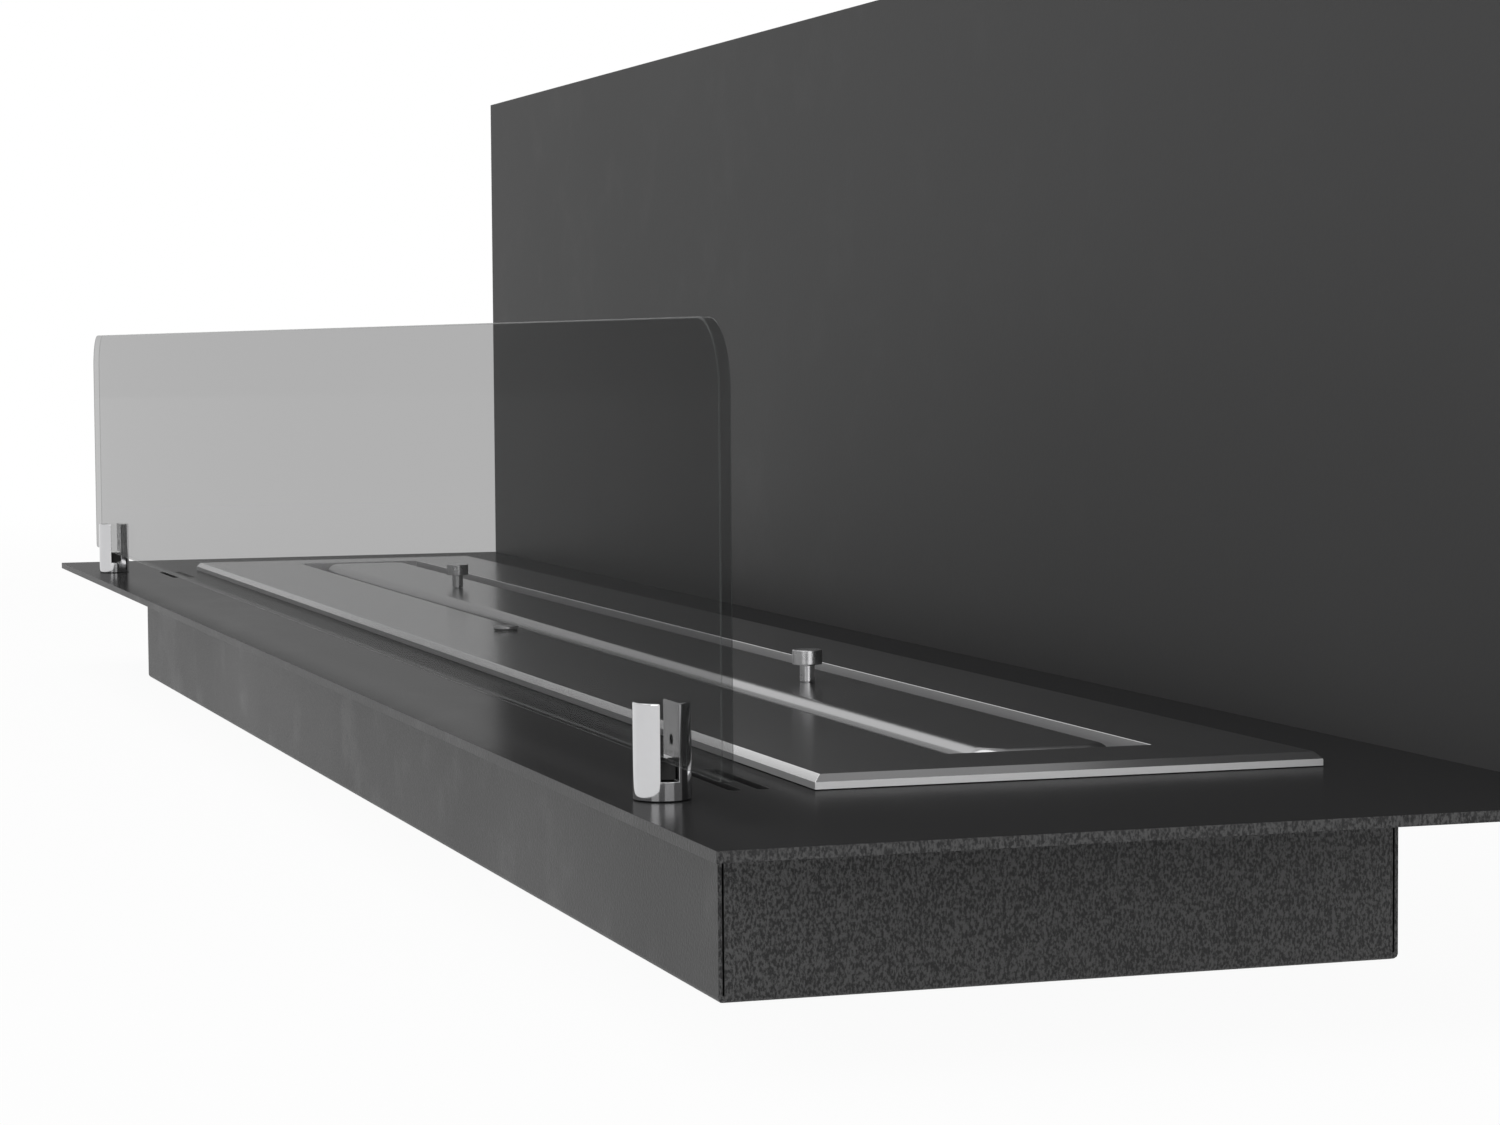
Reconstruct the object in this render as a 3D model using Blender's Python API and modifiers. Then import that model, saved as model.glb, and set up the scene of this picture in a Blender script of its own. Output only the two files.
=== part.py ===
"""Built-in bio-ethanol fireplace with a lift-out burner, a lift-off lid and a glass screen.

Metres, +Z up.  The long side runs along X and the open front faces -Y.  The origin lies on the
ground, under the middle of the whole object.  Sizes measured "above the deck" start from the top
face of the wide top plate.
"""
import math

import bmesh
import bpy
from mathutils import Euler

# Clearances
FIT_GAP = 0.0003            # air left between two pieces that touch
LOOSE_GAP = 0.0015          # easy drop-in clearance between the fuel tank and the deck

# Top plate, the wide deck that carries everything
LENGTH = 1.500
DECK_DEPTH = 0.3046
DECK_THICKNESS = 0.0037
CUTOUT_LEDGE = 0.0125       # width of deck that the burner rim rests on
STUD_RADIUS = 0.002
STUD_LENGTH = 0.0085

# Air vents, a pair of slots near each end of the deck
VENT_LENGTH = 0.061
VENT_WIDTH = 0.0042
VENT_PITCH = 0.0098
VENT_FROM_CASING = 0.0091    # from the casing's front face to the first slot's axis
VENT_FROM_END = 0.133
VENT_COUNT = 2

# Casing, a folded tray under the deck
CASING_HEIGHT = 0.069       # from the ground to the top of the deck
CASING_FROM_END = 0.1257     # from the deck's edges
CASING_FROM_FRONT = 0.0395
CASING_FROM_BACK = 0.0178
CASING_SHEET = 0.0015
CASING_BEND = 0.002
CORNER_SEAM = 0.0006
SEAM_BITE = 0.0001
TAB_LENGTH = 0.050
TAB_WIDTH = 0.013
TAB_PLACES = (-0.40, 0.0, 0.40)

# Back panel
PANEL_HEIGHT = 0.315        # above the deck
PANEL_SHEET = 0.002
PANEL_RETURN = 0.012
PANEL_FOOT = 0.013
PANEL_STUD_COUNT = 5
PANEL_STUD_MARGIN = 0.075

# Hexagon nuts on the weld studs
NUT_ACROSS_FLATS = 0.007
NUT_HEIGHT = 0.0032

# Glass screen and its two slotted posts
POST_RADIUS = 0.0095
POST_HEIGHT = 0.0317
POST_FROM_END = 0.1199
POST_FROM_FRONT = 0.0193
POST_EDGE = 0.0003
POST_SLOT_WIDTH = 0.0062
POST_SLOT_FLOOR = 0.0066    # above the deck
POST_BOLT_RADIUS = 0.003
POST_BOLT_REACH = 0.0045
BOLT_HEAD_RADIUS = 0.0055
BOLT_HEAD_HEIGHT = 0.0033
BOLT_CROWN_RADIUS = 0.0033
GLASS_THICKNESS = 0.004
GLASS_FROM_END = 0.0496
GLASS_BOTTOM = 0.013        # above the deck
GLASS_HEIGHT = 0.1417
GLASS_TOP_RADIUS = 0.022
GLASS_BOTTOM_RADIUS = 0.003
PAD_LENGTH = 0.012
SET_SCREW_RADIUS = 0.0015
SET_SCREW_HEIGHT = 0.0192   # axis above the deck
SET_SCREW_RECESS = 0.0012   # how far its tip stands back from the slot when loosened

# Burner
BURNER_PAST_END = 0.0022    # how far the rim reaches past the casing's ends
BURNER_FROM_FRONT = 0.0330  # from the casing's faces
BURNER_FROM_BACK = 0.0300
BURNER_HEIGHT = 0.0051      # top of the rim above the deck
BURNER_CHAMFER = 0.0024
SLOT_FROM_FRONT = 0.0615    # from the burner's front edge to the slot
SLOT_FROM_END = 0.0412      # from the burner's end to the slot
SLOT_WIDTH = 0.077
SLOT_DEPTH = 0.0101         # from the burner's top to the slot's floor
SLOT_SHEET = 0.0015
FIRE_SLOT_WIDTH = 0.036
FIRE_SLOT_FROM_END = 0.040  # from the slot's end
TANK_DEPTH = 0.056          # from the top of the deck to the tank's underside
TANK_SHEET = 0.0015
WICK_LENGTH = 0.360
WICK_COUNT = 3
WICK_GAP = 0.012

# Lid with its two knobs
LID_FROM_SLOT_FRONT = 0.0140
LID_FROM_SLOT_BACK = 0.0085
LID_FROM_SLOT_END = 0.0053
LID_EDGE_RADIUS = 0.006
LID_CORNER_RADIUS = 0.012
LID_SHEET = 0.0015
LID_SEAM_SETBACK = 0.0015   # flat strip between a bend and the weld beside it
KNOB_SPACING = 0.634
KNOB_STEM_RADIUS = 0.0031
KNOB_STEM_HEIGHT = 0.0071
KNOB_CAP_RADIUS = 0.00625
KNOB_CAP_HEIGHT = 0.0061
KNOB_EDGE = 0.0004
KNOB_THREAD_RADIUS = 0.002
KNOB_THREAD_LENGTH = 0.0052

# Filler plug
PLUG_FROM_MIDDLE = 0.003
PLUG_FROM_SLOT = 0.0098     # axis in front of the slot's edge
PLUG_CAP_RADIUS = 0.0062
PLUG_CAP_HEIGHT = 0.0012
PLUG_STEM_RADIUS = 0.0036
PLUG_STEM_LENGTH = 0.009
SEAL_THICKNESS = 0.0005

ROUND_STEPS = 24
SMALL_ROUND_STEPS = 16

# Places that follow from the sizes above
TOTAL_DEPTH = DECK_DEPTH + FIT_GAP + PANEL_RETURN
FRONT_Y = -TOTAL_DEPTH / 2
DECK_Z = CASING_HEIGHT
DECK_UNDERSIDE = DECK_Z - DECK_THICKNESS
CASING_HALF = LENGTH / 2 - CASING_FROM_END
CASING_FRONT_Y = FRONT_Y + CASING_FROM_FRONT
CASING_BACK_Y = FRONT_Y + DECK_DEPTH - CASING_FROM_BACK
CASING_TOP = DECK_UNDERSIDE - FIT_GAP
PANEL_FACE_Y = FRONT_Y + DECK_DEPTH + FIT_GAP
PANEL_TOP = DECK_Z + PANEL_HEIGHT
PANEL_FOOT_TOP = DECK_UNDERSIDE - FIT_GAP
PANEL_STUD_Y = PANEL_FACE_Y + PANEL_SHEET - PANEL_FOOT / 2 - PANEL_SHEET / 2
POST_X = LENGTH / 2 - POST_FROM_END
POST_Y = FRONT_Y + POST_FROM_FRONT
GLASS_HALF = LENGTH / 2 - GLASS_FROM_END
BURNER_HALF = CASING_HALF + BURNER_PAST_END
BURNER_FRONT_Y = CASING_FRONT_Y + BURNER_FROM_FRONT
BURNER_BACK_Y = CASING_BACK_Y - BURNER_FROM_BACK
BURNER_TOP = DECK_Z + BURNER_HEIGHT
BURNER_UNDERSIDE = DECK_Z + FIT_GAP
SLOT_HALF = BURNER_HALF - SLOT_FROM_END
SLOT_FRONT_Y = BURNER_FRONT_Y + SLOT_FROM_FRONT
SLOT_BACK_Y = SLOT_FRONT_Y + SLOT_WIDTH
SLOT_WALL_BOTTOM = BURNER_TOP - SLOT_DEPTH
SLOT_FLOOR = SLOT_WALL_BOTTOM - FIT_GAP
WELDED_TOP = BURNER_UNDERSIDE - FIT_GAP     # of the walls that hang from the burner's top
TANK_HALF = BURNER_HALF - CUTOUT_LEDGE - LOOSE_GAP
TANK_FRONT_Y = BURNER_FRONT_Y + CUTOUT_LEDGE + LOOSE_GAP
TANK_BACK_Y = BURNER_BACK_Y - CUTOUT_LEDGE - LOOSE_GAP
TANK_BOTTOM = DECK_Z - TANK_DEPTH
LID_HALF = SLOT_HALF - LID_FROM_SLOT_END
LID_FRONT_Y = SLOT_FRONT_Y + LID_FROM_SLOT_FRONT
LID_BACK_Y = SLOT_BACK_Y - LID_FROM_SLOT_BACK
LID_MID_Y = (LID_FRONT_Y + LID_BACK_Y) / 2
LID_BOTTOM = SLOT_FLOOR + FIT_GAP
TAB_Y = {"front": CASING_FRONT_Y + CASING_SHEET + TAB_WIDTH / 2,
         "back": CASING_BACK_Y - CASING_SHEET - TAB_WIDTH / 2}

FINISHES = {
    # name: (colour, roughness, metallic)
    "black_powder_coat": ((0.018, 0.018, 0.019), 0.45, 0.0),
    "black_hammered_coat": ((0.030, 0.030, 0.031), 0.55, 0.0),
    "brushed_steel": ((0.56, 0.56, 0.57), 0.28, 1.0),
    "chrome": ((0.75, 0.75, 0.76), 0.08, 1.0),
    "zinc": ((0.50, 0.51, 0.53), 0.35, 1.0),
    "smoked_glass": ((0.35, 0.36, 0.36), 0.03, 0.0),
    "rubber": ((0.015, 0.015, 0.015), 0.80, 0.0),
    "ceramic_wool": ((0.80, 0.78, 0.74), 0.95, 0.0),
}


# ---------------------------------------------------------------- scene and finishes

def clear_scene():
    """Remove whatever the file was opened with."""
    for item in list(bpy.data.objects):
        bpy.data.objects.remove(item, do_unlink=True)


def make_collection(name):
    """Add a collection to the scene and return it."""
    collection = bpy.data.collections.new(name)
    bpy.context.scene.collection.children.link(collection)
    return collection


def make_finish(name):
    """Return the finish's material, made on first use."""
    if name in bpy.data.materials:
        return bpy.data.materials[name]
    colour, roughness, metallic = FINISHES[name]
    material = bpy.data.materials.new(name)
    material.use_nodes = True
    shader = material.node_tree.nodes["Principled BSDF"]
    shader.inputs["Base Color"].default_value = (*colour, 1.0)
    shader.inputs["Roughness"].default_value = roughness
    shader.inputs["Metallic"].default_value = metallic
    material.diffuse_color = (*colour, 1.0)
    return material


def add_mesh_object(name, mesh, finish=None):
    """Put a mesh in the fireplace's collection, or among the cutters when it has no finish."""
    item = bpy.data.objects.new(name, mesh)
    if finish is None:
        CUTTERS.objects.link(item)
        item.hide_render = True
        item.display_type = "WIRE"
    else:
        FIREPLACE.objects.link(item)
        mesh.materials.append(make_finish(finish))
    return item


# ---------------------------------------------------------------- shapes

def box_mesh(name, low, high):
    """Return a box mesh between two corners."""
    bm = bmesh.new()
    bmesh.ops.create_cube(bm, size=1.0)
    size = [h - l for l, h in zip(low, high)]
    middle = [(h + l) / 2 for l, h in zip(low, high)]
    bmesh.ops.scale(bm, vec=size, verts=bm.verts)
    bmesh.ops.translate(bm, vec=middle, verts=bm.verts)
    mesh = bpy.data.meshes.new(name)
    bm.to_mesh(mesh)
    bm.free()
    return mesh


def box(name, low, high, finish=None):
    """Add a box between two corners."""
    return add_mesh_object(name, box_mesh(name, low, high), finish)


def arc(centre, radius, start, end, steps):
    """Return points along an arc, angles in degrees."""
    points = []
    for i in range(steps + 1):
        angle = math.radians(start + (end - start) * i / steps)
        points.append((centre[0] + radius * math.cos(angle), centre[1] + radius * math.sin(angle)))
    return points


def circle(centre, radius, steps=SMALL_ROUND_STEPS):
    """Return the points of a circle."""
    return arc(centre, radius, 0, 360, steps)[:-1]


def rectangle(low, high):
    """Return the corners of a rectangle."""
    return [(low[0], low[1]), (high[0], low[1]), (high[0], high[1]), (low[0], high[1])]


def rounded_rectangle(low, high, bottom_radius, top_radius, steps=8):
    """Return a rectangle's outline with round corners."""
    outline = arc((low[0] + bottom_radius, low[1] + bottom_radius), bottom_radius, 180, 270, steps)
    outline += arc((high[0] - bottom_radius, low[1] + bottom_radius), bottom_radius, 270, 360, steps)
    outline += arc((high[0] - top_radius, high[1] - top_radius), top_radius, 0, 90, steps)
    outline += arc((low[0] + top_radius, high[1] - top_radius), top_radius, 90, 180, steps)
    return outline


def capsule(centre, length, width, steps=6):
    """Return the outline of a slot with round ends that runs along the first axis."""
    reach = (length - width) / 2
    outline = arc((centre[0] + reach, centre[1]), width / 2, -90, 90, steps)
    outline += arc((centre[0] - reach, centre[1]), width / 2, 90, 270, steps)
    return outline


def flat_shape(name, outlines, thickness, location, rotation=(0, 0, 0), finish=None):
    """Cut a flat shape, first outline outside and the rest holes, centred on its thickness."""
    curve = bpy.data.curves.new(name, "CURVE")
    curve.dimensions = "2D"
    curve.fill_mode = "BOTH"
    curve.extrude = thickness / 2
    for outline in outlines:
        spline = curve.splines.new("POLY")
        spline.points.add(len(outline) - 1)
        for point, (x, y) in zip(spline.points, outline):
            point.co = (x, y, 0, 1)
        spline.use_cyclic_u = True
    drawn = bpy.data.objects.new(name + "_outline", curve)
    CUTTERS.objects.link(drawn)
    drawn.location = location
    drawn.rotation_euler = Euler(rotation)
    bpy.context.view_layer.update()
    mesh = bpy.data.meshes.new_from_object(drawn.evaluated_get(bpy.context.evaluated_depsgraph_get()))
    mesh.name = name
    bm = bmesh.new()
    bm.from_mesh(mesh)
    bmesh.ops.remove_doubles(bm, verts=bm.verts, dist=0.00001)
    bm.to_mesh(mesh)
    bm.free()
    mesh.materials.clear()
    item = add_mesh_object(name, mesh, finish)
    item.matrix_world = drawn.matrix_world.copy()
    bpy.data.objects.remove(drawn, do_unlink=True)
    return item


def turned(name, profile, location, rotation, finish=None, steps=ROUND_STEPS):
    """Turn a profile of (radius, height) points, top to bottom, around its own Z axis."""
    bm = bmesh.new()
    verts = [bm.verts.new((radius, 0, height)) for radius, height in profile]
    for first, second in zip(verts, verts[1:]):
        bm.edges.new((first, second))
    mesh = bpy.data.meshes.new(name)
    bm.to_mesh(mesh)
    bm.free()
    item = add_mesh_object(name, mesh, finish)
    item.location = location
    item.rotation_euler = Euler(rotation)
    screw = item.modifiers.new("Turn", "SCREW")
    screw.steps = steps
    screw.render_steps = steps
    screw.use_merge_vertices = True
    screw.merge_threshold = 0.00001
    screw.use_smooth_shade = True
    return item


def pin(name, radius, low, high, steps=SMALL_ROUND_STEPS):
    """Add a plain round cutter or stud between two points on one axis."""
    along = [h - l for l, h in zip(low, high)]
    length = math.hypot(*along)
    bm = bmesh.new()
    bmesh.ops.create_cone(bm, cap_ends=True, segments=steps, radius1=radius, radius2=radius,
                          depth=length)
    if along[1]:
        bmesh.ops.rotate(bm, matrix=Euler((math.pi / 2, 0, 0)).to_matrix(), verts=bm.verts)
    bmesh.ops.translate(bm, vec=[(h + l) / 2 for l, h in zip(low, high)], verts=bm.verts)
    mesh = bpy.data.meshes.new(name)
    bm.to_mesh(mesh)
    bm.free()
    return add_mesh_object(name, mesh)


def combine(item, tool, operation):
    """Join a tool to an object, or cut it away."""
    boolean = item.modifiers.new(tool.name, "BOOLEAN")
    boolean.object = tool
    boolean.operation = operation
    boolean.solver = "EXACT"


def cut(item, *tools):
    """Cut each tool out of an object."""
    for tool in tools:
        combine(item, tool, "DIFFERENCE")


def join(item, *tools):
    """Weld each tool to an object."""
    for tool in tools:
        combine(item, tool, "UNION")


def soften_top(mesh, offset, steps):
    """Bevel the edges of a box mesh's top face."""
    bm = bmesh.new()
    bm.from_mesh(mesh)
    top = max(v.co.z for v in bm.verts)
    rim = [e for e in bm.edges if all(top - v.co.z < FIT_GAP for v in e.verts)]
    bmesh.ops.bevel(bm, geom=rim, offset=offset, segments=steps, profile=0.5, affect="EDGES")
    bm.to_mesh(mesh)
    bm.free()


def sheet_walls(name, low, high, sheet, finish):
    """Stand four walls of sheet round a rectangle, the two ends between the two long ones."""
    front = low[1] + sheet
    back = high[1] - sheet
    box(f"{name}_wall_front", low, (high[0], front, high[2]), finish)
    box(f"{name}_wall_back", (low[0], back, low[2]), high, finish)
    box(f"{name}_wall_left", (low[0], front + FIT_GAP, low[2]),
        (low[0] + sheet, back - FIT_GAP, high[2]), finish)
    box(f"{name}_wall_right", (high[0] - sheet, front + FIT_GAP, low[2]),
        (high[0], back - FIT_GAP, high[2]), finish)


# ---------------------------------------------------------------- deck, casing and back panel

def stud_places():
    """Return every weld stud as (name, x, y)."""
    places = []
    for side in ("front", "back"):
        for number, x in enumerate(TAB_PLACES, start=1):
            places.append((f"casing_nut_{side}_{number}", x, TAB_Y[side]))
    run = LENGTH - 2 * PANEL_STUD_MARGIN
    for number in range(PANEL_STUD_COUNT):
        x = -run / 2 + run * number / (PANEL_STUD_COUNT - 1)
        places.append((f"panel_nut_{number + 1}", x, PANEL_STUD_Y))
    return places


def vent_outlines():
    """Return the outlines of the vent slots, a pair near each end."""
    outlines = []
    for side in (-1, 1):
        x = side * (LENGTH / 2 - VENT_FROM_END - VENT_LENGTH / 2)
        for row in range(VENT_COUNT):
            y = CASING_FRONT_Y + VENT_FROM_CASING + row * VENT_PITCH
            outlines.append(capsule((x, y), VENT_LENGTH, VENT_WIDTH))
    return outlines


def make_top_plate():
    """Cut the deck, with the burner's cut-out, the vents, the post holes and the weld studs."""
    half = BURNER_HALF - CUTOUT_LEDGE
    cutout = rectangle((-half, BURNER_FRONT_Y + CUTOUT_LEDGE),
                       (half, BURNER_BACK_Y - CUTOUT_LEDGE))
    edge = rectangle((-LENGTH / 2, FRONT_Y), (LENGTH / 2, FRONT_Y + DECK_DEPTH))
    holes = [circle((side * POST_X, POST_Y), POST_BOLT_RADIUS + FIT_GAP) for side in (-1, 1)]
    middle = DECK_Z - DECK_THICKNESS / 2
    plate = flat_shape("top_plate", [edge, cutout, *vent_outlines(), *holes], DECK_THICKNESS,
                       (0, 0, middle), finish="black_powder_coat")
    for name, x, y in stud_places():
        stud = pin(name + "_stud", STUD_RADIUS, (x, y, DECK_UNDERSIDE - STUD_LENGTH), (x, y, middle))
        join(plate, stud)


def corner_seam(side_x, side_y, wall_y):
    """Return a cutter that parts the casing's end wall from its long wall at one corner."""
    over = 2 * CASING_SHEET
    end_x = side_x * CASING_HALF
    inner_y = wall_y - side_y * (CASING_SHEET - SEAM_BITE)
    seam_y = inner_y - side_y * (CORNER_SEAM + SEAM_BITE)
    xs = sorted((end_x - side_x * over, end_x + side_x * over))
    ys = sorted((inner_y, seam_y))
    label = f"{'left' if side_x < 0 else 'right'}_{'front' if side_y < 0 else 'back'}"
    return box(f"seam_{label}", (xs[0], ys[0], CASING_BEND + CORNER_SEAM),
               (xs[1], ys[1], CASING_TOP + over))


def make_casing():
    """Fold the casing tray, with open corner seams and inward tabs that hang on the studs."""
    low = (-CASING_HALF, CASING_FRONT_Y, 0)
    high = (CASING_HALF, CASING_BACK_Y, CASING_TOP)
    casing = box("casing_tray", low, high, "black_hammered_coat")
    bm = bmesh.new()
    bm.from_mesh(casing.data)
    bottom = [e for e in bm.edges if all(v.co.z < CASING_SHEET for v in e.verts)]
    bmesh.ops.bevel(bm, geom=bottom, offset=CASING_BEND, segments=3, profile=0.5, affect="EDGES")
    bm.to_mesh(casing.data)
    bm.free()
    inside = box("casing_inside",
                 (low[0] + CASING_SHEET, low[1] + CASING_SHEET, CASING_SHEET),
                 (high[0] - CASING_SHEET, high[1] - CASING_SHEET, CASING_TOP + CASING_SHEET))
    cut(casing, inside)
    for side_x in (-1, 1):
        for side_y, wall_y in ((-1, low[1]), (1, high[1])):
            cut(casing, corner_seam(side_x, side_y, wall_y))
    for side, y in TAB_Y.items():
        reach = TAB_WIDTH / 2
        root = CASING_SHEET / 2
        near = y - reach - (root if side == "front" else 0)
        far = y + reach + (root if side == "back" else 0)
        for number, x in enumerate(TAB_PLACES, start=1):
            tab = box(f"tab_{side}_{number}", (x - TAB_LENGTH / 2, near, CASING_TOP - CASING_SHEET),
                      (x + TAB_LENGTH / 2, far, CASING_TOP))
            join(casing, tab)
            hole = pin(f"tab_hole_{side}_{number}", STUD_RADIUS + FIT_GAP,
                       (x, y, CASING_TOP - 2 * CASING_SHEET), (x, y, CASING_TOP + CASING_SHEET))
            cut(casing, hole)


def make_back_panel():
    """Fold the back panel: returns at its top and ends, and a foot under the deck."""
    foot_bottom = PANEL_FOOT_TOP - PANEL_SHEET
    panel = box("back_panel", (-LENGTH / 2, PANEL_FACE_Y, foot_bottom),
                (LENGTH / 2, PANEL_FACE_Y + PANEL_RETURN, PANEL_TOP), "black_powder_coat")
    hollow = box("panel_hollow",
                 (-LENGTH / 2 + PANEL_SHEET, PANEL_FACE_Y + PANEL_SHEET, foot_bottom - PANEL_SHEET),
                 (LENGTH / 2 - PANEL_SHEET, PANEL_FACE_Y + 2 * PANEL_RETURN,
                  PANEL_TOP - PANEL_SHEET))
    foot = box("panel_foot",
               (-LENGTH / 2, PANEL_FACE_Y + PANEL_SHEET / 2 - PANEL_FOOT, foot_bottom),
               (LENGTH / 2, PANEL_FACE_Y + PANEL_SHEET / 2, PANEL_FOOT_TOP))
    cut(panel, hollow)
    join(panel, foot)
    for name, x, y in stud_places():
        if name.startswith("panel"):
            hole = pin(name + "_hole", STUD_RADIUS + FIT_GAP, (x, y, foot_bottom - PANEL_SHEET),
                       (x, y, PANEL_FOOT_TOP + PANEL_SHEET / 4))
            cut(panel, hole)


def hexagon_nut(name, x, y, top):
    """Add a hexagon nut under the given height."""
    corner = NUT_ACROSS_FLATS / math.sqrt(3)
    outline = circle((0, 0), corner, steps=6)
    bore = circle((0, 0), STUD_RADIUS + FIT_GAP)
    return flat_shape(name, [outline, bore], NUT_HEIGHT, (x, y, top - NUT_HEIGHT / 2),
                      finish="zinc")


def make_nuts():
    """Put a nut on every weld stud."""
    for name, x, y in stud_places():
        clamped = PANEL_SHEET if name.startswith("panel") else CASING_SHEET
        hexagon_nut(name, x, y, DECK_UNDERSIDE - FIT_GAP - clamped - FIT_GAP)


# ---------------------------------------------------------------- glass screen

def make_post(side_name, side):
    """Turn and slot one post, with its bolt, its rubber pad and its set screw."""
    x = side * POST_X
    base = DECK_Z + FIT_GAP
    top = DECK_Z + POST_HEIGHT
    post = turned(f"post_{side_name}",
                  [(0, top), (POST_RADIUS - POST_EDGE, top), (POST_RADIUS, top - POST_EDGE),
                   (POST_RADIUS, base), (0, base)],
                  (x, POST_Y, 0), (0, 0, 0), "chrome", steps=2 * ROUND_STEPS)
    floor = DECK_Z + POST_SLOT_FLOOR
    slot = box(f"post_slot_{side_name}", (x - 2 * POST_RADIUS, POST_Y - POST_SLOT_WIDTH / 2, floor),
               (x + 2 * POST_RADIUS, POST_Y + POST_SLOT_WIDTH / 2, top + POST_RADIUS))
    bolt_hole = pin(f"post_bolt_hole_{side_name}", POST_BOLT_RADIUS + FIT_GAP,
                    (x, POST_Y, DECK_Z - POST_RADIUS),
                    (x, POST_Y, DECK_Z + POST_BOLT_REACH + FIT_GAP))
    screw_z = DECK_Z + SET_SCREW_HEIGHT
    screw_hole = pin(f"set_screw_hole_{side_name}", SET_SCREW_RADIUS + FIT_GAP,
                     (x, POST_Y, screw_z), (x, POST_Y + 2 * POST_RADIUS, screw_z))
    cut(post, slot, bolt_hole, screw_hole)

    head_top = DECK_UNDERSIDE - FIT_GAP
    turned(f"post_bolt_{side_name}",
           [(0, DECK_Z + POST_BOLT_REACH), (POST_BOLT_RADIUS, DECK_Z + POST_BOLT_REACH),
            (POST_BOLT_RADIUS, head_top), (BOLT_HEAD_RADIUS, head_top),
            (BOLT_HEAD_RADIUS, head_top - BOLT_HEAD_HEIGHT / 2),
            (BOLT_CROWN_RADIUS, head_top - BOLT_HEAD_HEIGHT), (0, head_top - BOLT_HEAD_HEIGHT)],
           (x, POST_Y, 0), (0, 0, 0), "zinc", steps=SMALL_ROUND_STEPS)

    box(f"glass_pad_{side_name}",
        (x - PAD_LENGTH / 2, POST_Y - POST_SLOT_WIDTH / 2 + FIT_GAP, floor + FIT_GAP),
        (x + PAD_LENGTH / 2, POST_Y + POST_SLOT_WIDTH / 2 - FIT_GAP,
         DECK_Z + GLASS_BOTTOM - FIT_GAP), "rubber")

    tip = POST_SLOT_WIDTH / 2 + SET_SCREW_RECESS
    end = POST_RADIUS - SET_SCREW_RECESS / 4
    turned(f"set_screw_{side_name}",
           [(0, end), (SET_SCREW_RADIUS, end), (SET_SCREW_RADIUS, tip + SET_SCREW_RADIUS / 2),
            (SET_SCREW_RADIUS / 2, tip), (0, tip)],
           (x, POST_Y, screw_z), (-math.pi / 2, 0, 0), "zinc", steps=SMALL_ROUND_STEPS)


def make_glass():
    """Cut the glass pane, which stands in the slots of both posts."""
    bottom = DECK_Z + GLASS_BOTTOM
    outline = rounded_rectangle((-GLASS_HALF, bottom), (GLASS_HALF, bottom + GLASS_HEIGHT),
                                GLASS_BOTTOM_RADIUS, GLASS_TOP_RADIUS)
    flat_shape("glass_pane", [outline], GLASS_THICKNESS, (0, POST_Y, 0), (math.pi / 2, 0, 0),
               finish="smoked_glass")


# ---------------------------------------------------------------- burner

def make_burner_top():
    """Mill the burner's steel top, with a chamfered rim, the slot and the filler hole."""
    mesh = box_mesh("burner_top", (-BURNER_HALF, BURNER_FRONT_Y, BURNER_UNDERSIDE),
                    (BURNER_HALF, BURNER_BACK_Y, BURNER_TOP))
    soften_top(mesh, BURNER_CHAMFER, 1)
    top = add_mesh_object("burner_top", mesh, "brushed_steel")
    slot = box("slot_opening", (-SLOT_HALF, SLOT_FRONT_Y, SLOT_WALL_BOTTOM),
               (SLOT_HALF, SLOT_BACK_Y, BURNER_TOP + SLOT_DEPTH))
    hole = pin("filler_hole", PLUG_STEM_RADIUS + FIT_GAP, (*plug_place(), SLOT_WALL_BOTTOM),
               (*plug_place(), BURNER_TOP + SLOT_DEPTH))
    cut(top, slot, hole)


def make_slot():
    """Line the slot, with walls and a floor that has the fire slot which the lid covers."""
    low = (-SLOT_HALF - SLOT_SHEET, SLOT_FRONT_Y - SLOT_SHEET)
    high = (SLOT_HALF + SLOT_SHEET, SLOT_BACK_Y + SLOT_SHEET)
    sheet_walls("slot", (*low, SLOT_WALL_BOTTOM), (*high, WELDED_TOP), SLOT_SHEET, "brushed_steel")
    fire_length = 2 * (SLOT_HALF - FIRE_SLOT_FROM_END)
    outlines = [rectangle(low, high), capsule((0, LID_MID_Y), fire_length, FIRE_SLOT_WIDTH)]
    flat_shape("fire_slot_plate", outlines, SLOT_SHEET, (0, 0, SLOT_FLOOR - SLOT_SHEET / 2),
               finish="brushed_steel")


def make_tank():
    """Weld the fuel tank from plates under the burner's top, and fill it with wicks."""
    floor_top = TANK_BOTTOM + TANK_SHEET
    box("tank_floor", (-TANK_HALF, TANK_FRONT_Y, TANK_BOTTOM), (TANK_HALF, TANK_BACK_Y, floor_top),
        "brushed_steel")
    sheet_walls("tank", (-TANK_HALF, TANK_FRONT_Y, floor_top + FIT_GAP),
                (TANK_HALF, TANK_BACK_Y, WELDED_TOP), TANK_SHEET, "brushed_steel")
    wick_top = SLOT_FLOOR - SLOT_SHEET - FIT_GAP
    pitch = WICK_LENGTH + WICK_GAP
    for number in range(WICK_COUNT):
        x = (number - (WICK_COUNT - 1) / 2) * pitch
        box(f"wick_{number + 1}", (x - WICK_LENGTH / 2, SLOT_FRONT_Y, floor_top + FIT_GAP),
            (x + WICK_LENGTH / 2, SLOT_BACK_Y, wick_top), "ceramic_wool")


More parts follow.
